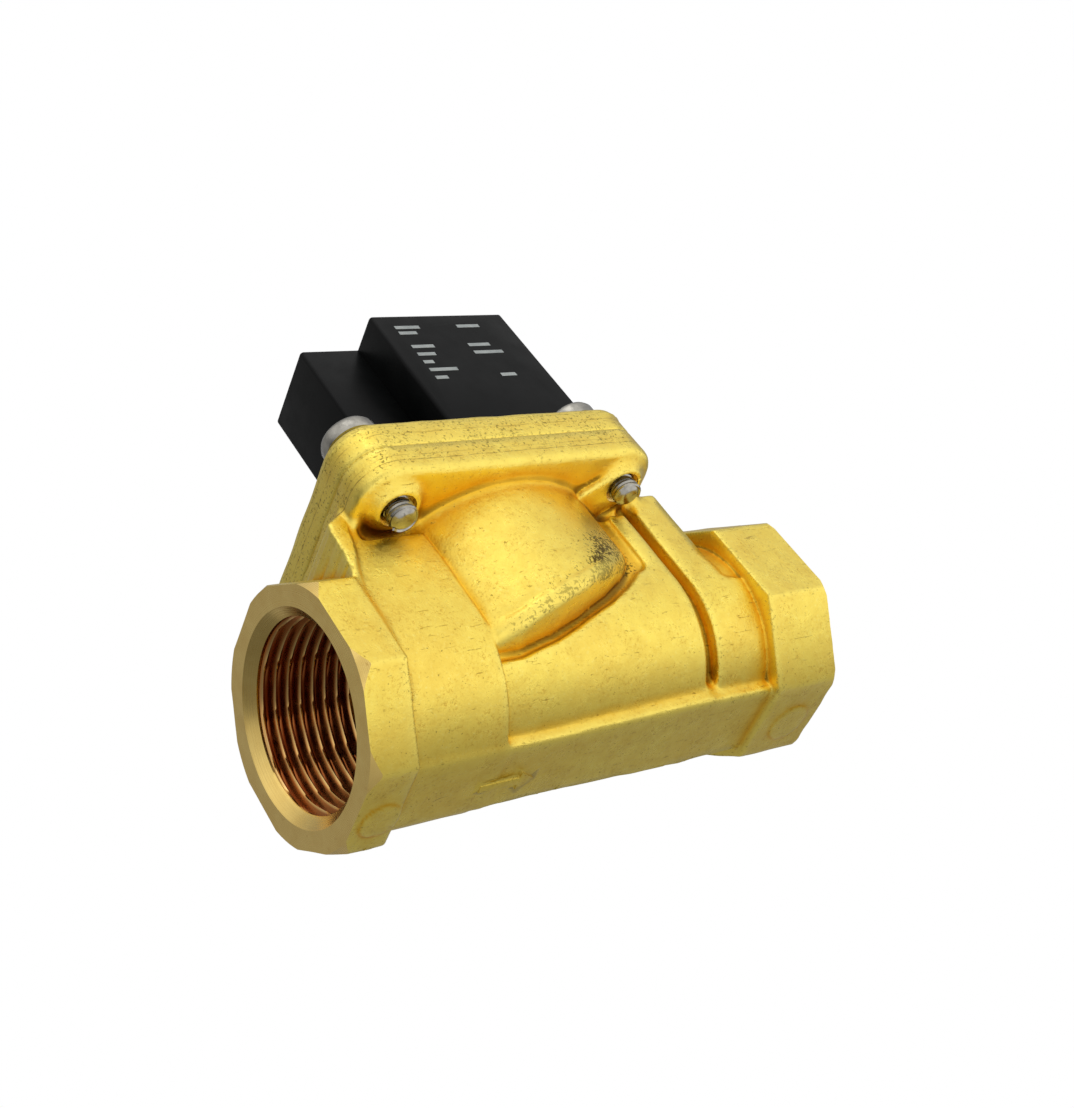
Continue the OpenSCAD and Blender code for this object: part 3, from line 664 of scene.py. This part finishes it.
def crease(obj, angle, soft=()):
    """smooth shading with sharp edges; faces whose material is in soft stay smooth among themselves"""
    limit = math.cos(math.radians(angle))
    with editing(obj) as work:
        for f in work.faces:
            f.smooth = True
        for e in work.edges:
            if len(e.link_faces) != 2:
                continue
            a, b = e.link_faces
            if a.material_index != b.material_index:
                e.smooth = a.normal.dot(b.normal) > 0.97
            elif a.material_index in soft:
                e.smooth = True
            else:
                e.smooth = a.normal.dot(b.normal) > limit


def soften(obj, width, steps):
    """rounds every edge of a small solid"""
    with editing(obj) as work:
        bmesh.ops.bevel(work, geom=list(work.edges), offset=width * MM, segments=steps, profile=0.5,
                        affect="EDGES", clamp_overlap=True)


def dress(obj, names, body):
    """puts a finished piece in place of its CAD nodes"""
    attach(obj, body)
    if names:
        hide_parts(*names)


def soft_piece(name, paint):
    """copy of a soft inner part in its own material, put in place of its CAD node"""
    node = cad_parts[name]
    data = node.data.copy()
    data.transform(node.matrix_world)
    data.materials.clear()
    data.materials.append(paint)
    data.polygons.foreach_set("material_index", [0] * len(data.polygons))
    made = bpy.data.objects.new(name + "_soft", data)
    bpy.context.scene.collection.objects.link(made)
    face_out(made)
    crease(made, 40)
    dress(made, [name], "valve")
    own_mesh(made)


def set_field(obj, name, values):
    """stores one number for each point"""
    data = obj.data.attributes.new(name, "FLOAT", "POINT")
    data.data.foreach_set("value", np.ascontiguousarray(values, dtype=np.float32))


def wear_and_painted_light_fields(obj, values, low, cell):
    """attributes for the forged brass, from how the surface bends and where it is: painted shade in hollows
    and a painted highlight on ridges, and the rim and scale_patch for trim lines and scale
    """
    count = len(obj.data.vertices)
    flat = np.empty(count * 3, np.float32)
    obj.data.vertices.foreach_get("co", flat)
    points = flat.reshape(-1, 3) / MM
    near = sample(blur(values, 2) - values, points, low, cell)
    wide = sample(blur(values, 7) - values, points, low, cell)
    x, y, z = points.T
    # painted shade along the seam between cover and flange
    seam = np.exp(-((z - Z_SEAM) / 0.15) ** 2)
    # dark outlines of the two rest pads
    foot = step(-z, 15.4, 15.8)
    rings = 0.0
    for (pad_x, pad_y, pad_r), dark, width in zip(PADS, (0.9, 0.5), (0.25, 0.2)):
        off = np.hypot(x - pad_x, y - pad_y) - pad_r - 0.05
        rings = rings + dark * np.exp(-(off / width) ** 2) * foot
    # painted shade under the flange near its corners
    corner = round_plate(x, y)
    under = step(z, 15.4, 15.8) * step(-z, -16.8, -16.3) * step(-corner, 0.3, 1.0)
    # painted shade in hollows, along the seam and under the flange, with the pads' dark outlines
    set_field(obj, "hollow", np.clip(-near * 3.0 - wide * 0.5 - 0.14 + seam + 0.4 * under + rings, 0, 1))
    # painted highlight on convex edges, from how sharply the surface bends
    set_field(obj, "ridge", np.clip(near * 8.0 - 0.28, 0, 1))
    flange = step(z, 17.0, 18.0) * step(np.maximum(np.abs(x - COVER_X), np.abs(y)), 22.0, 23.5)
    # patina on the chamber wall, thick at its low corner and in lines along its lower edge
    up = z - np.interp(x - COVER_X, SOLE_X, SOLE_Z)
    belly = 1.2 * step(x, 33.5, 41.0) * step(9.5 - up, 0.0, 4.5) * step(up, -1.5, -0.2)
    belly = belly + 0.8 * step(x, 21.0, 25.0) * np.exp(-((up - 0.6) / 0.9) ** 2)
    belly = belly + 0.6 * step(x, 24.0, 31.0) * np.exp(-((up - 2.8) / 0.6) ** 2)
    away = np.hypot(x - COVER_X, y)
    belly = belly * step(away, 18.0, 19.4) * step(-away, -20.8, -20.4)
    edges = np.clip(near * 5.0 - 0.25, 0, 1)
    set_field(obj, "rim", flange)
    set_field(obj, "scale_patch", np.clip(0.6 * edges + 0.45 * flange + belly, 0, 1.2))


def thread_wave(start):
    """radius of a pipe thread cut between the mouth and the run out"""
    def wave(place, radius, angle):
        into = abs(place - start)
        if into > 15.6 or abs(radius - PORT_R) > 0.1:
            return radius
        u = (into / PITCH - angle / (2 * math.pi)) % 1.0
        tooth = 1 - abs(2 * u - 1)
        tooth = (0.6 * tooth + 0.4 * (0.5 - 0.5 * math.cos(2 * math.pi * u))) ** 0.8
        fade = min(1.0, max(0.0, (15.4 - into) / 1.2), max(0.0, (into - 1.1) / 1.3))
        return radius + 1.16 * tooth * fade
    return wave


def port_cutter(name, start, sign, deep, materials):
    """everything that is bored, countersunk and threaded from one mouth"""
    rows = [(-2.0, MOUTH_R), (0.0, MOUTH_R)]
    lead = 1.5
    into = 0.1
    while into < lead:
        rows.append((into, MOUTH_R - into * (MOUTH_R - PORT_R) / lead))
        into += 0.2
    steps = 12
    rows += [(lead + k * PITCH / steps, PORT_R) for k in range(int(14.0 / PITCH * steps))]
    rows += [(15.5, PORT_R), (17.0, WAY_R), (deep - 1.2, WAY_R), (deep, 8.4)]
    wave = thread_wave(start)

    def mouth(place, radius, angle):
        if 0 < abs(place - start) < lead:
            return max(radius, wave(place, PORT_R, angle))
        return wave(place, radius, angle)
    profile = [(start + sign * a, r) for a, r in rows]
    made = turned(name, profile, materials, 1, 120, along="X", wave=mouth)
    for f in made.data.polygons:
        into = abs(f.center.x / MM - start)
        # the threaded part has the thread material, with painted highlight and shade
        if 1.4 < into < 15.6 and len(f.vertices) == 4:
            f.material_index = 2
    return made


def field_piece(name, field, low, high, cell, thin, paints, part=0):
    """closed piece from a distance field, and the field's values on its grid"""
    values = field_grid(field, low, high, cell)
    points, faces = field_mesh(values, low, cell, thin)
    made = make_piece(name, points, faces, paints, part)
    face_out(made)
    return made, values


def screw_holes(profile, paints, steps):
    """cutters for the four screw holes"""
    return [turned("screw_hole", profile, paints, 1, steps, (COVER_X + sx * SCREW_AT, sy * SCREW_AT, 0))
            for sx in (-1, 1) for sy in (-1, 1)]


def body_piece(paints):
    """the forged body with its turned mouths, threads, ways, ring chamber and seat"""
    low, cell = (-2.0, -25.2, -17.6), 0.32
    made, values = field_piece("forged_body", body_field, low, (79.0, 25.2, 23.4), cell, 0.01, paints)
    chamber = field_piece("chamber", chamber_field, (14.0, -20.0, -6.0), (55.0, 20.0, 23.5), 0.7, 0.05,
                          paints, 1)[0]
    left = turned("left", [(-4, 18.4), (3.1, 18.4), (0, 16.5), (0, 0.001)], paints, 1, along="X")
    right = turned("right", [(BODY_L, 0.001), (BODY_L, 16.9), (BODY_L - 1.3, 18.2), (BODY_L + 4, 18.2)],
                   paints, 1, along="X")
    cutters = [
        left, right, chamber,
        port_cutter("inlet", 0.0, 1, 23.8, paints),
        port_cutter("outlet", BODY_L, -1, BODY_L - 26.2, paints),
        bore("throat", 0.0, 16.5, 8.2, COVER_X, paints),
        bore("recess", 19.6, 24.5, 22.6, COVER_X, paints),
        bore("return_way", 5.0, 22.0, 1.0, COVER_X + RETURN_AT, paints, 1, 24),
        block("top", (0.0, -30.0, Z_SEAM), (80.0, 30.0, 26.0), paints, 1),
    ]
    cutters += screw_holes([(14.3, 2.6), (14.9, 2.6), (15.5, 1.98), (22.0, 1.98)], paints, 40)
    cut(made, cutters)
    # flow arrow standing on the strip
    outline = [(18, 0.1), (24, 0.1), (24, -0.9), (26.4, 0.7), (24, 2.3), (24, 1.3), (18, 1.3)]
    arrow = prism("arrow", outline, -15.65, -14.6, paints)
    soften(arrow, 0.12, 2)
    cut(made, [arrow], "UNION")
    wear_and_painted_light_fields(made, values, low, cell)
    crease(made, 32, soft=(0,))
    return made


def cover_piece(paints):
    """the cover with its control chamber, tube boss and pilot ways"""
    low, cell = (9.0, -25.2, 19.0), 0.34
    made, values = field_piece("forged_cover", cover_field, low, (60.5, 25.2, 34.0), cell, 0.01, paints)
    across = 24.6
    cutters = [
        block("bottom", (5.0, -30.0, 15.0), (65.0, 30.0, Z_SEAM), paints, 1),
        block("boss_top", (30.0, -15.0, Z_BOSS), (65.0, 15.0, 36.0), paints, 1),
        bore("control", 20.0, 22.9, ROOM_R, COVER_X, paints),
        bore("dome_room", 20.0, 26.0, 9.0, COVER_X, paints),
        bore("foot_room", 27.5, 32.0, 6.2, TUBE_X, paints),
        bore("foot_thread", 28.5, 33.0, 7.0, TUBE_X, paints),
        bore("seal_seat", 30.1, 33.0, 8.9, TUBE_X, paints),
        bore("pilot_hole", 25.6, 28.0, 2.0, TUBE_X, paints, 1, 32),
        bore("pilot_down", 24.0, 27.0, 0.9, TUBE_X, paints, 1, 24),
        turned("cross", [(TUBE_X, 0.9), (60.0, 0.9)], paints, 1, 24, (0, 0, across), "X"),
        turned("ball_hole", [(COVER_X + 21.4, 1.5), (60.0, 1.5)], paints, 1, 24, (0, 0, across), "X"),
        bore("return_up", 20.0, across, 1.0, COVER_X + RETURN_AT, paints, 1, 24),
        bore("feed", 21.0, 28.0, 0.8, TUBE_X - 5, paints, 1, 24),
    ]
    cutters += screw_holes([(20.0, 2.2), (28.0, 2.2)], paints, 32)
    cut(made, cutters)
    wear_and_painted_light_fields(made, values, low, cell)
    crease(made, 32, soft=(0,))
    return made


def coil_piece(paint, ink):
    """moulded coil with rounded edges around the yoke, the bobbin and the winding, and its printed bars"""
    # seen from above it is wide in front and narrow behind
    outline = [(29.2, -STEP_Y), (STEP_X, -STEP_Y), (STEP_X, -13.0), (COIL_FACE, -13.0),
               (COIL_FACE, 13.0), (STEP_X, 13.0), (STEP_X, STEP_Y), (29.2, STEP_Y)]
    made = prism("coil_moulding", outline, Z_HEX, Z_COIL, [paint])
    with editing(made) as work:
        # every upright edge is rounded except in the step's two hollow corners
        upright = [e for e in work.edges if abs(e.verts[0].co.z - e.verts[1].co.z) > 0.01
                   and abs(e.verts[0].co.x - STEP_X * MM) + abs(abs(e.verts[0].co.y) - STEP_Y * MM) > 1e-5]
        bmesh.ops.bevel(work, geom=upright, offset=0.55 * MM, segments=4, profile=0.5, affect="EDGES")
        rims = [e for e in work.edges if len(e.link_faces) == 2
                and abs(e.link_faces[0].normal.z - e.link_faces[1].normal.z) > 0.9]
        bmesh.ops.bevel(work, geom=rims, offset=0.35 * MM, segments=3, profile=0.5, affect="EDGES",
                        clamp_overlap=True)
    cutters = [
        bore("bore", 33.0, 64.0, 4.6, TUBE_X, [paint], 0, 48),
        bore("seal_low", 33.0, 35.1, 6.2, TUBE_X, [paint], 0, 48),
        bore("seal_high", 61.9, 64.0, 6.2, TUBE_X, [paint], 0, 48),
        bore("winding_room", 38.5, 58.5, 10.1, TUBE_X, [paint], 0, 64),
        block("plate_low", (31.4, -5.3, 36.0), (42.5, 5.3, 38.5), [paint]),
        block("plate_low_wide", (40.6, -9.0, 36.0), (57.4, 9.0, 38.5), [paint]),
        block("plate_high", (31.4, -5.3, 58.5), (42.5, 5.3, 61.0), [paint]),
        block("plate_high_wide", (40.6, -9.0, 58.5), (57.4, 9.0, 61.0), [paint]),
        block("limb", (31.4, -5.3, 36.0), (33.9, 5.3, 61.0), [paint]),
        turned("insert_room", [(COIL_FACE - 4.0, 2.1), (COIL_FACE + 1, 2.1)], [paint], 0, 32,
               (0, 0, Z_TERM), "X"),
        block("earth_slot", (60.4, -3.15, 41.1), (65.0, 3.15, 41.9), [paint]),
    ]
    for y in (-5.5, 5.5):
        low, high = (60.4, y - 0.4, Z_TERM - 3.15), (65.0, y + 0.4, Z_TERM + 3.15)
        cutters.append(block("line_slot", low, high, [paint]))
    # shallow gutter that locates the plug's gasket
    square = ((-1, -1), (1, -1), (1, 1), (-1, 1))
    middle = Z_TERM - 2.2
    outer = [(y * 10.9, middle + z * 11.2) for y, z in square]
    inner = [(y * 10.1, middle + z * 10.4) for y, z in square]
    ring = prism("gutter", outer, COIL_FACE - 0.4, COIL_FACE + 1, [paint], 0, "YZ")
    isle = prism("isle", inner, COIL_FACE - 1, COIL_FACE + 2, [paint], 0, "YZ")
    cut(ring, [isle])
    cutters.append(ring)
    cut(made, cutters)
    made.data.materials.append(ink)
    bars = [block("bar", (a, -13.03, Z_HEX + up), (b, -12.7, Z_HEX + up + 0.75), [paint, ink], 1)
            for a, b, up in PRINT]
    cut(made, bars, "UNION")
    crease(made, 30)
    return made


# Screws and split washers are made by geometry nodes

def new_tree(name, sizes):
    """geometry node tree with one named input for each size"""
    tree = bpy.data.node_groups.new(name, "GeometryNodeTree")
    tree.interface.new_socket("Geometry", in_out="INPUT", socket_type="NodeSocketGeometry")
    tree.interface.new_socket("Geometry", in_out="OUTPUT", socket_type="NodeSocketGeometry")
    for label, value in sizes.items():
        kind = "NodeSocketInt" if isinstance(value, int) else "NodeSocketFloat"
        item = tree.interface.new_socket(label, in_out="INPUT", socket_type=kind)
        item.default_value = value
    put = partial(add, tree)
    return tree, put, put("NodeGroupInput"), put("NodeGroupOutput")


def grow(name, tree, sizes, paint, shape, out):
    """ends a tree with Realize Instances and Set Material and makes a plain mesh with it"""
    real = add(tree, "GeometryNodeRealizeInstances", {"Geometry": shape})
    done = add(tree, "GeometryNodeSetMaterial", {"Geometry": real, "Material": paint})
    tree.links.new(done.outputs[0], out.inputs[0])
    data = bpy.data.meshes.new(name)
    made = bpy.data.objects.new(name, data)
    bpy.context.scene.collection.objects.link(made)
    run = made.modifiers.new("grow", "NODES")
    run.node_group = tree
    for item in tree.interface.items_tree:
        if item.in_out == "INPUT" and item.name in sizes:
            run[item.identifier] = sizes[item.name]
    bake(made)
    if not made.data.materials:
        made.data.materials.append(paint)
    return made


def scaled(put, value):
    """a size in millimetres as metres"""
    return put("MULTIPLY", (value, MM))


def screw_points(put, given):
    """the four places of the cover screws as points"""
    reach = scaled(put, given.outputs["Screw spacing"])
    net = put("GeometryNodeMeshGrid", {"Size X": reach, "Size Y": reach, "Vertices X": 2, "Vertices Y": 2})
    return put("GeometryNodeTransform", {"Geometry": net, "Translation": (COVER_X * MM, 0.0, 0.0)})


def screws_piece(paint):
    """cover screws: cross recess, domed edge, rolled thread with a chamfered end"""
    sizes = {"Screw spacing": 2 * SCREW_AT, "Shaft radius": 1.84, "Head radius": 4.0,
             "Thread depth": 0.22, "Thread pitch": 0.7, "Seed": 7}
    tree, put, given, out = new_tree("screws_tree", sizes)
    # shaft and head are one outline turned about the screw's axis, as (height, radius, share of the radius)
    shaft = given.outputs["Shaft radius"]
    head = given.outputs["Head radius"]
    rows = ((12.8, 0, 0.0), (12.74, shaft, 0.55), (12.95, shaft, 0.80), (13.3, shaft, 1.0),
            (26.8, shaft, 1.0), (27.0, shaft, 1.08), (27.0, head, 0.93), (27.15, head, 0.985),
            (27.4, head, 1.0), (28.75, head, 1.0), (29.25, head, 0.94), (29.65, head, 0.80),
            (29.9, head, 0.55), (29.98, head, 0.3), (30.0, 0, 0.0))
    spots = []
    for z, base, share in rows:
        radius = put("MULTIPLY", (scaled(put, base), share)) if share else 0.0
        spots.append(put("ShaderNodeCombineXYZ", {"X": radius, "Z": z * MM}))
    line = put("GeometryNodeMeshLine", {"Count": len(rows)}, mode="OFFSET")
    place = spots[-1]
    index = put("GeometryNodeInputIndex")
    for k in range(len(rows) - 2, -1, -1):
        here = put("FunctionNodeCompare", {2: index, 3: k}, data_type="INT", operation="LESS_EQUAL")
        place = put("GeometryNodeSwitch", {0: here, 1: place, 2: spots[k]}, input_type="VECTOR")
    line = put("GeometryNodeSetPosition", {"Geometry": line, "Position": place})
    side = put("GeometryNodeMeshToCurve", {"Mesh": line})
    # the outline is swept along a tiny circle, so that it turns about the axis
    wheel = put("GeometryNodeCurvePrimitiveCircle", {"Resolution": 48, "Radius": 1e-7})
    flat = put("GeometryNodeTransform", {"Geometry": side, "Rotation": (math.pi / 2, 0.0, 0.0)})
    solid = put("GeometryNodeCurveToMesh", {"Curve": wheel, "Profile Curve": flat})
    solid = put("GeometryNodeMergeByDistance", {"Geometry": solid, "Distance": 2e-6})
    # cross recess
    holes = put("GeometryNodeJoinGeometry")
    for turn in (0.0, math.pi / 2):
        bar = put("GeometryNodeMeshCube", {"Size": (4.6 * MM, 0.85 * MM, 4.0 * MM)})
        move = {"Geometry": bar, "Translation": (0.0, 0.0, 30.6 * MM), "Rotation": (0.0, 0.0, turn)}
        bar = put("GeometryNodeTransform", move)
        tree.links.new(bar.outputs[0], holes.inputs[0])
    cone = put("GeometryNodeMeshCone",
               {"Vertices": 16, "Radius Top": 1.5 * MM, "Radius Bottom": 0.35 * MM, "Depth": 2.4 * MM})
    cone = put("GeometryNodeTransform", {"Geometry": cone, "Translation": (0.0, 0.0, 28.3 * MM)})
    tree.links.new(cone.outputs[0], holes.inputs[0])
    carve = put("GeometryNodeMeshBoolean", {"Mesh 1": solid, "Mesh 2": holes, "Self Intersection": True},
                operation="DIFFERENCE", solver="EXACT")
    # rolled thread as a ridge wound on the shaft
    length = 12.5 * MM
    turns = put("DIVIDE", (length, scaled(put, given.outputs["Thread pitch"])))
    radius = scaled(put, shaft)
    size = {"Start Radius": radius, "End Radius": radius, "Height": length}
    coil = put("GeometryNodeCurveSpiral", {"Resolution": 24, "Rotations": turns, **size})
    coil = put("GeometryNodeTransform", {"Geometry": coil, "Translation": (0.0, 0.0, 13.05 * MM)})
    ridge = put("GeometryNodeCurvePrimitiveCircle",
                {"Resolution": 4, "Radius": scaled(put, given.outputs["Thread depth"])})
    ridge = put("GeometryNodeCurveToMesh", {"Curve": coil, "Profile Curve": ridge, "Fill Caps": True})
    whole = put("GeometryNodeJoinGeometry")
    tree.links.new(carve.outputs[0], whole.inputs[0])
    tree.links.new(ridge.outputs[0], whole.inputs[0])
    # each screw stops at its own turn
    spin = put("FunctionNodeRandomValue", {3: 3.1, "Seed": given.outputs["Seed"]}, data_type="FLOAT")
    turn = put("ShaderNodeCombineXYZ", {"Z": spin.outputs[1]})
    turn = put("FunctionNodeEulerToRotation", {0: turn})
    four = put("GeometryNodeInstanceOnPoints",
               {"Points": screw_points(put, given), "Instance": whole, "Rotation": turn})
    made = grow("cover_screw_set", tree, sizes, paint, four, out)
    crease(made, 34)
    return made


def washers_piece(paint):
    """split spring washers, square in section, one end a little higher than the other"""
    sizes = {"Screw spacing": 2 * SCREW_AT, "Mean radius": 2.95, "Width": 1.5, "Height": 0.86, "Rise": 0.13}
    tree, put, given, out = new_tree("washers_tree", sizes)
    mean = scaled(put, given.outputs["Mean radius"])
    rise = scaled(put, given.outputs["Rise"])
    size = {"Start Radius": mean, "End Radius": mean, "Height": rise}
    coil = put("GeometryNodeCurveSpiral", {"Resolution": 48, "Rotations": 0.955, **size})
    width = scaled(put, given.outputs["Width"])
    height = scaled(put, given.outputs["Height"])
    bar = put("GeometryNodeCurvePrimitiveQuadrilateral", {"Width": width, "Height": height})
    bar = put("GeometryNodeFilletCurve", {"Curve": bar, "Radius": 0.12 * MM, "Count": 2}, mode="POLY")
    ring = put("GeometryNodeCurveToMesh", {"Curve": coil, "Profile Curve": bar, "Fill Caps": True})
    ring = put("GeometryNodeTransform",
               {"Geometry": ring, "Translation": (0.0, 0.0, (Z_TOP + 0.436) * MM),
                "Rotation": (0.0, 0.0, math.radians(258))})
    four = put("GeometryNodeInstanceOnPoints", {"Points": screw_points(put, given), "Instance": ring})
    made = grow("split_washer_set", tree, sizes, paint, four, out)
    crease(made, 34)
    return made


# Put together

make_camera()
make_world()
make_lamp("key", (-0.02, -0.55, 0.60), (0.035, 0.0, 0.01), (0.30, 0.30), 0.22)
make_floor()

forged = forged_brass()
bored = turned_brass("brass_turned_ports")
milled = turned_brass("brass_turned_cover", (TUBE_X, 0.0, 0.0), "Z")
# rolling polishes a thread, so the screws mirror their surroundings in dark and light bands
screw_steel = plain("steel_stainless_thread_rolled", "8C8982", "B4B0A6", (0.14, 0.27), 2.2, 0.012, "4C483F")
# rolled sheet is pale grey with a soft gloss, and darker where it was handled
stainless = plain("steel_stainless_rolled", "A8A49A", "C8C5BC", (0.22, 0.38), 2.2, 0.012, "6F6A60")
# plating is bluish white and satin
zinc = plain("steel_zinc_plated", "B9BCC0", "CDD0D2", (0.25, 0.4), 2.5, 0.01, "8D9094")
# drawing leaves wire smooth and grey
spring = plain("steel_spring_drawn", "9A9CA0", "B4B6BA", (0.2, 0.32), 3.0, 0.008)
# pressed soft iron is dull dark grey with brown rust spots
yoke_steel = plain("steel_yoke_pressed", "74777B", "8C8F92", (0.35, 0.5), 1.5, 0.015, "5A4A3C")
# cut copper is warm and satin
copper = plain("copper_ring_cut", "C9774A", "DD8E5E", (0.25, 0.38), 2.0, 0.01)
# tin makes the brass blades silvery
tinned = plain("brass_tinned_blades", "BDBBB2", "D2D0C8", (0.22, 0.34), 2.5, 0.008)
# enamel deepens the copper wire to a glossy red brown, and the close turns show as fine relief
enamel = plain("copper_wire_enamelled", "8E4A22", "B06030", (0.2, 0.35), 1.2, 0.05)
# moulded rubber is nearly black and matt
rubber = plain("rubber_nitrile_moulded", "121212", "1B1B1C", (0.55, 0.72), 3.5, 0.012, ior=1.5)
# the coil's moulding is deep black, and mirrors very little
coil_black = plain("polyamide_coil_moulded", "030404", "060707", (0.34, 0.46), 2.6, 0.008, ior=1.2)
# pad printed ink is thin, flat and light grey
print_ink = plain("ink_pad_printed", "9DA3A3", "B9BEBD", (0.5, 0.65), 2.0, 0.01, ior=1.3)
# the winding's former is plain dark grey
bobbin_grey = plain("polyamide_bobbin_moulded", "2A2B2C", "343536", (0.45, 0.6), 3.0, 0.01, ior=1.5)

dress(body_piece([forged, bored, threaded_brass()]), ["valve_body"], "valve")
dress(cover_piece([forged, milled]), ["cover"], "valve")
dress(coil_piece(coil_black, print_ink), ["coil_housing"], "valve")
dress(screws_piece(screw_steel), ["cover_screws"], "valve")
dress(washers_piece(stainless), ["screw_washers"], "valve")

soft_piece("diaphragm", rubber)
soft_piece("diaphragm_spring", spring)
soft_piece("plunger_spring", spring)

# CAD pieces inside or at the back, shown as they are
cad_finish = {
    "pilot_plug": zinc, "support_plate": stainless, "seat_disc": rubber,
    "seat_washer": milled, "stack_rivet": stainless, "pilot_seat": stainless,
    "tube_seal": rubber, "armature_tube": stainless, "fixed_core": stainless, "shading_ring": copper,
    "plunger": stainless, "plunger_seal": rubber, "yoke": yoke_steel,
    "bobbin": bobbin_grey, "winding": enamel, "line_blades": tinned, "earth_blade": tinned,
    "connector_insert": milled, "coil_seals": rubber, "coil_washer": zinc, "coil_nut": zinc,
}
for label, paint in cad_finish.items():
    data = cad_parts[label].data
    if not data.materials:
        data.materials.append(paint)
    for k in range(len(data.materials)):
        data.materials[k] = paint

bpy.context.scene.view_settings.view_transform = "Standard"
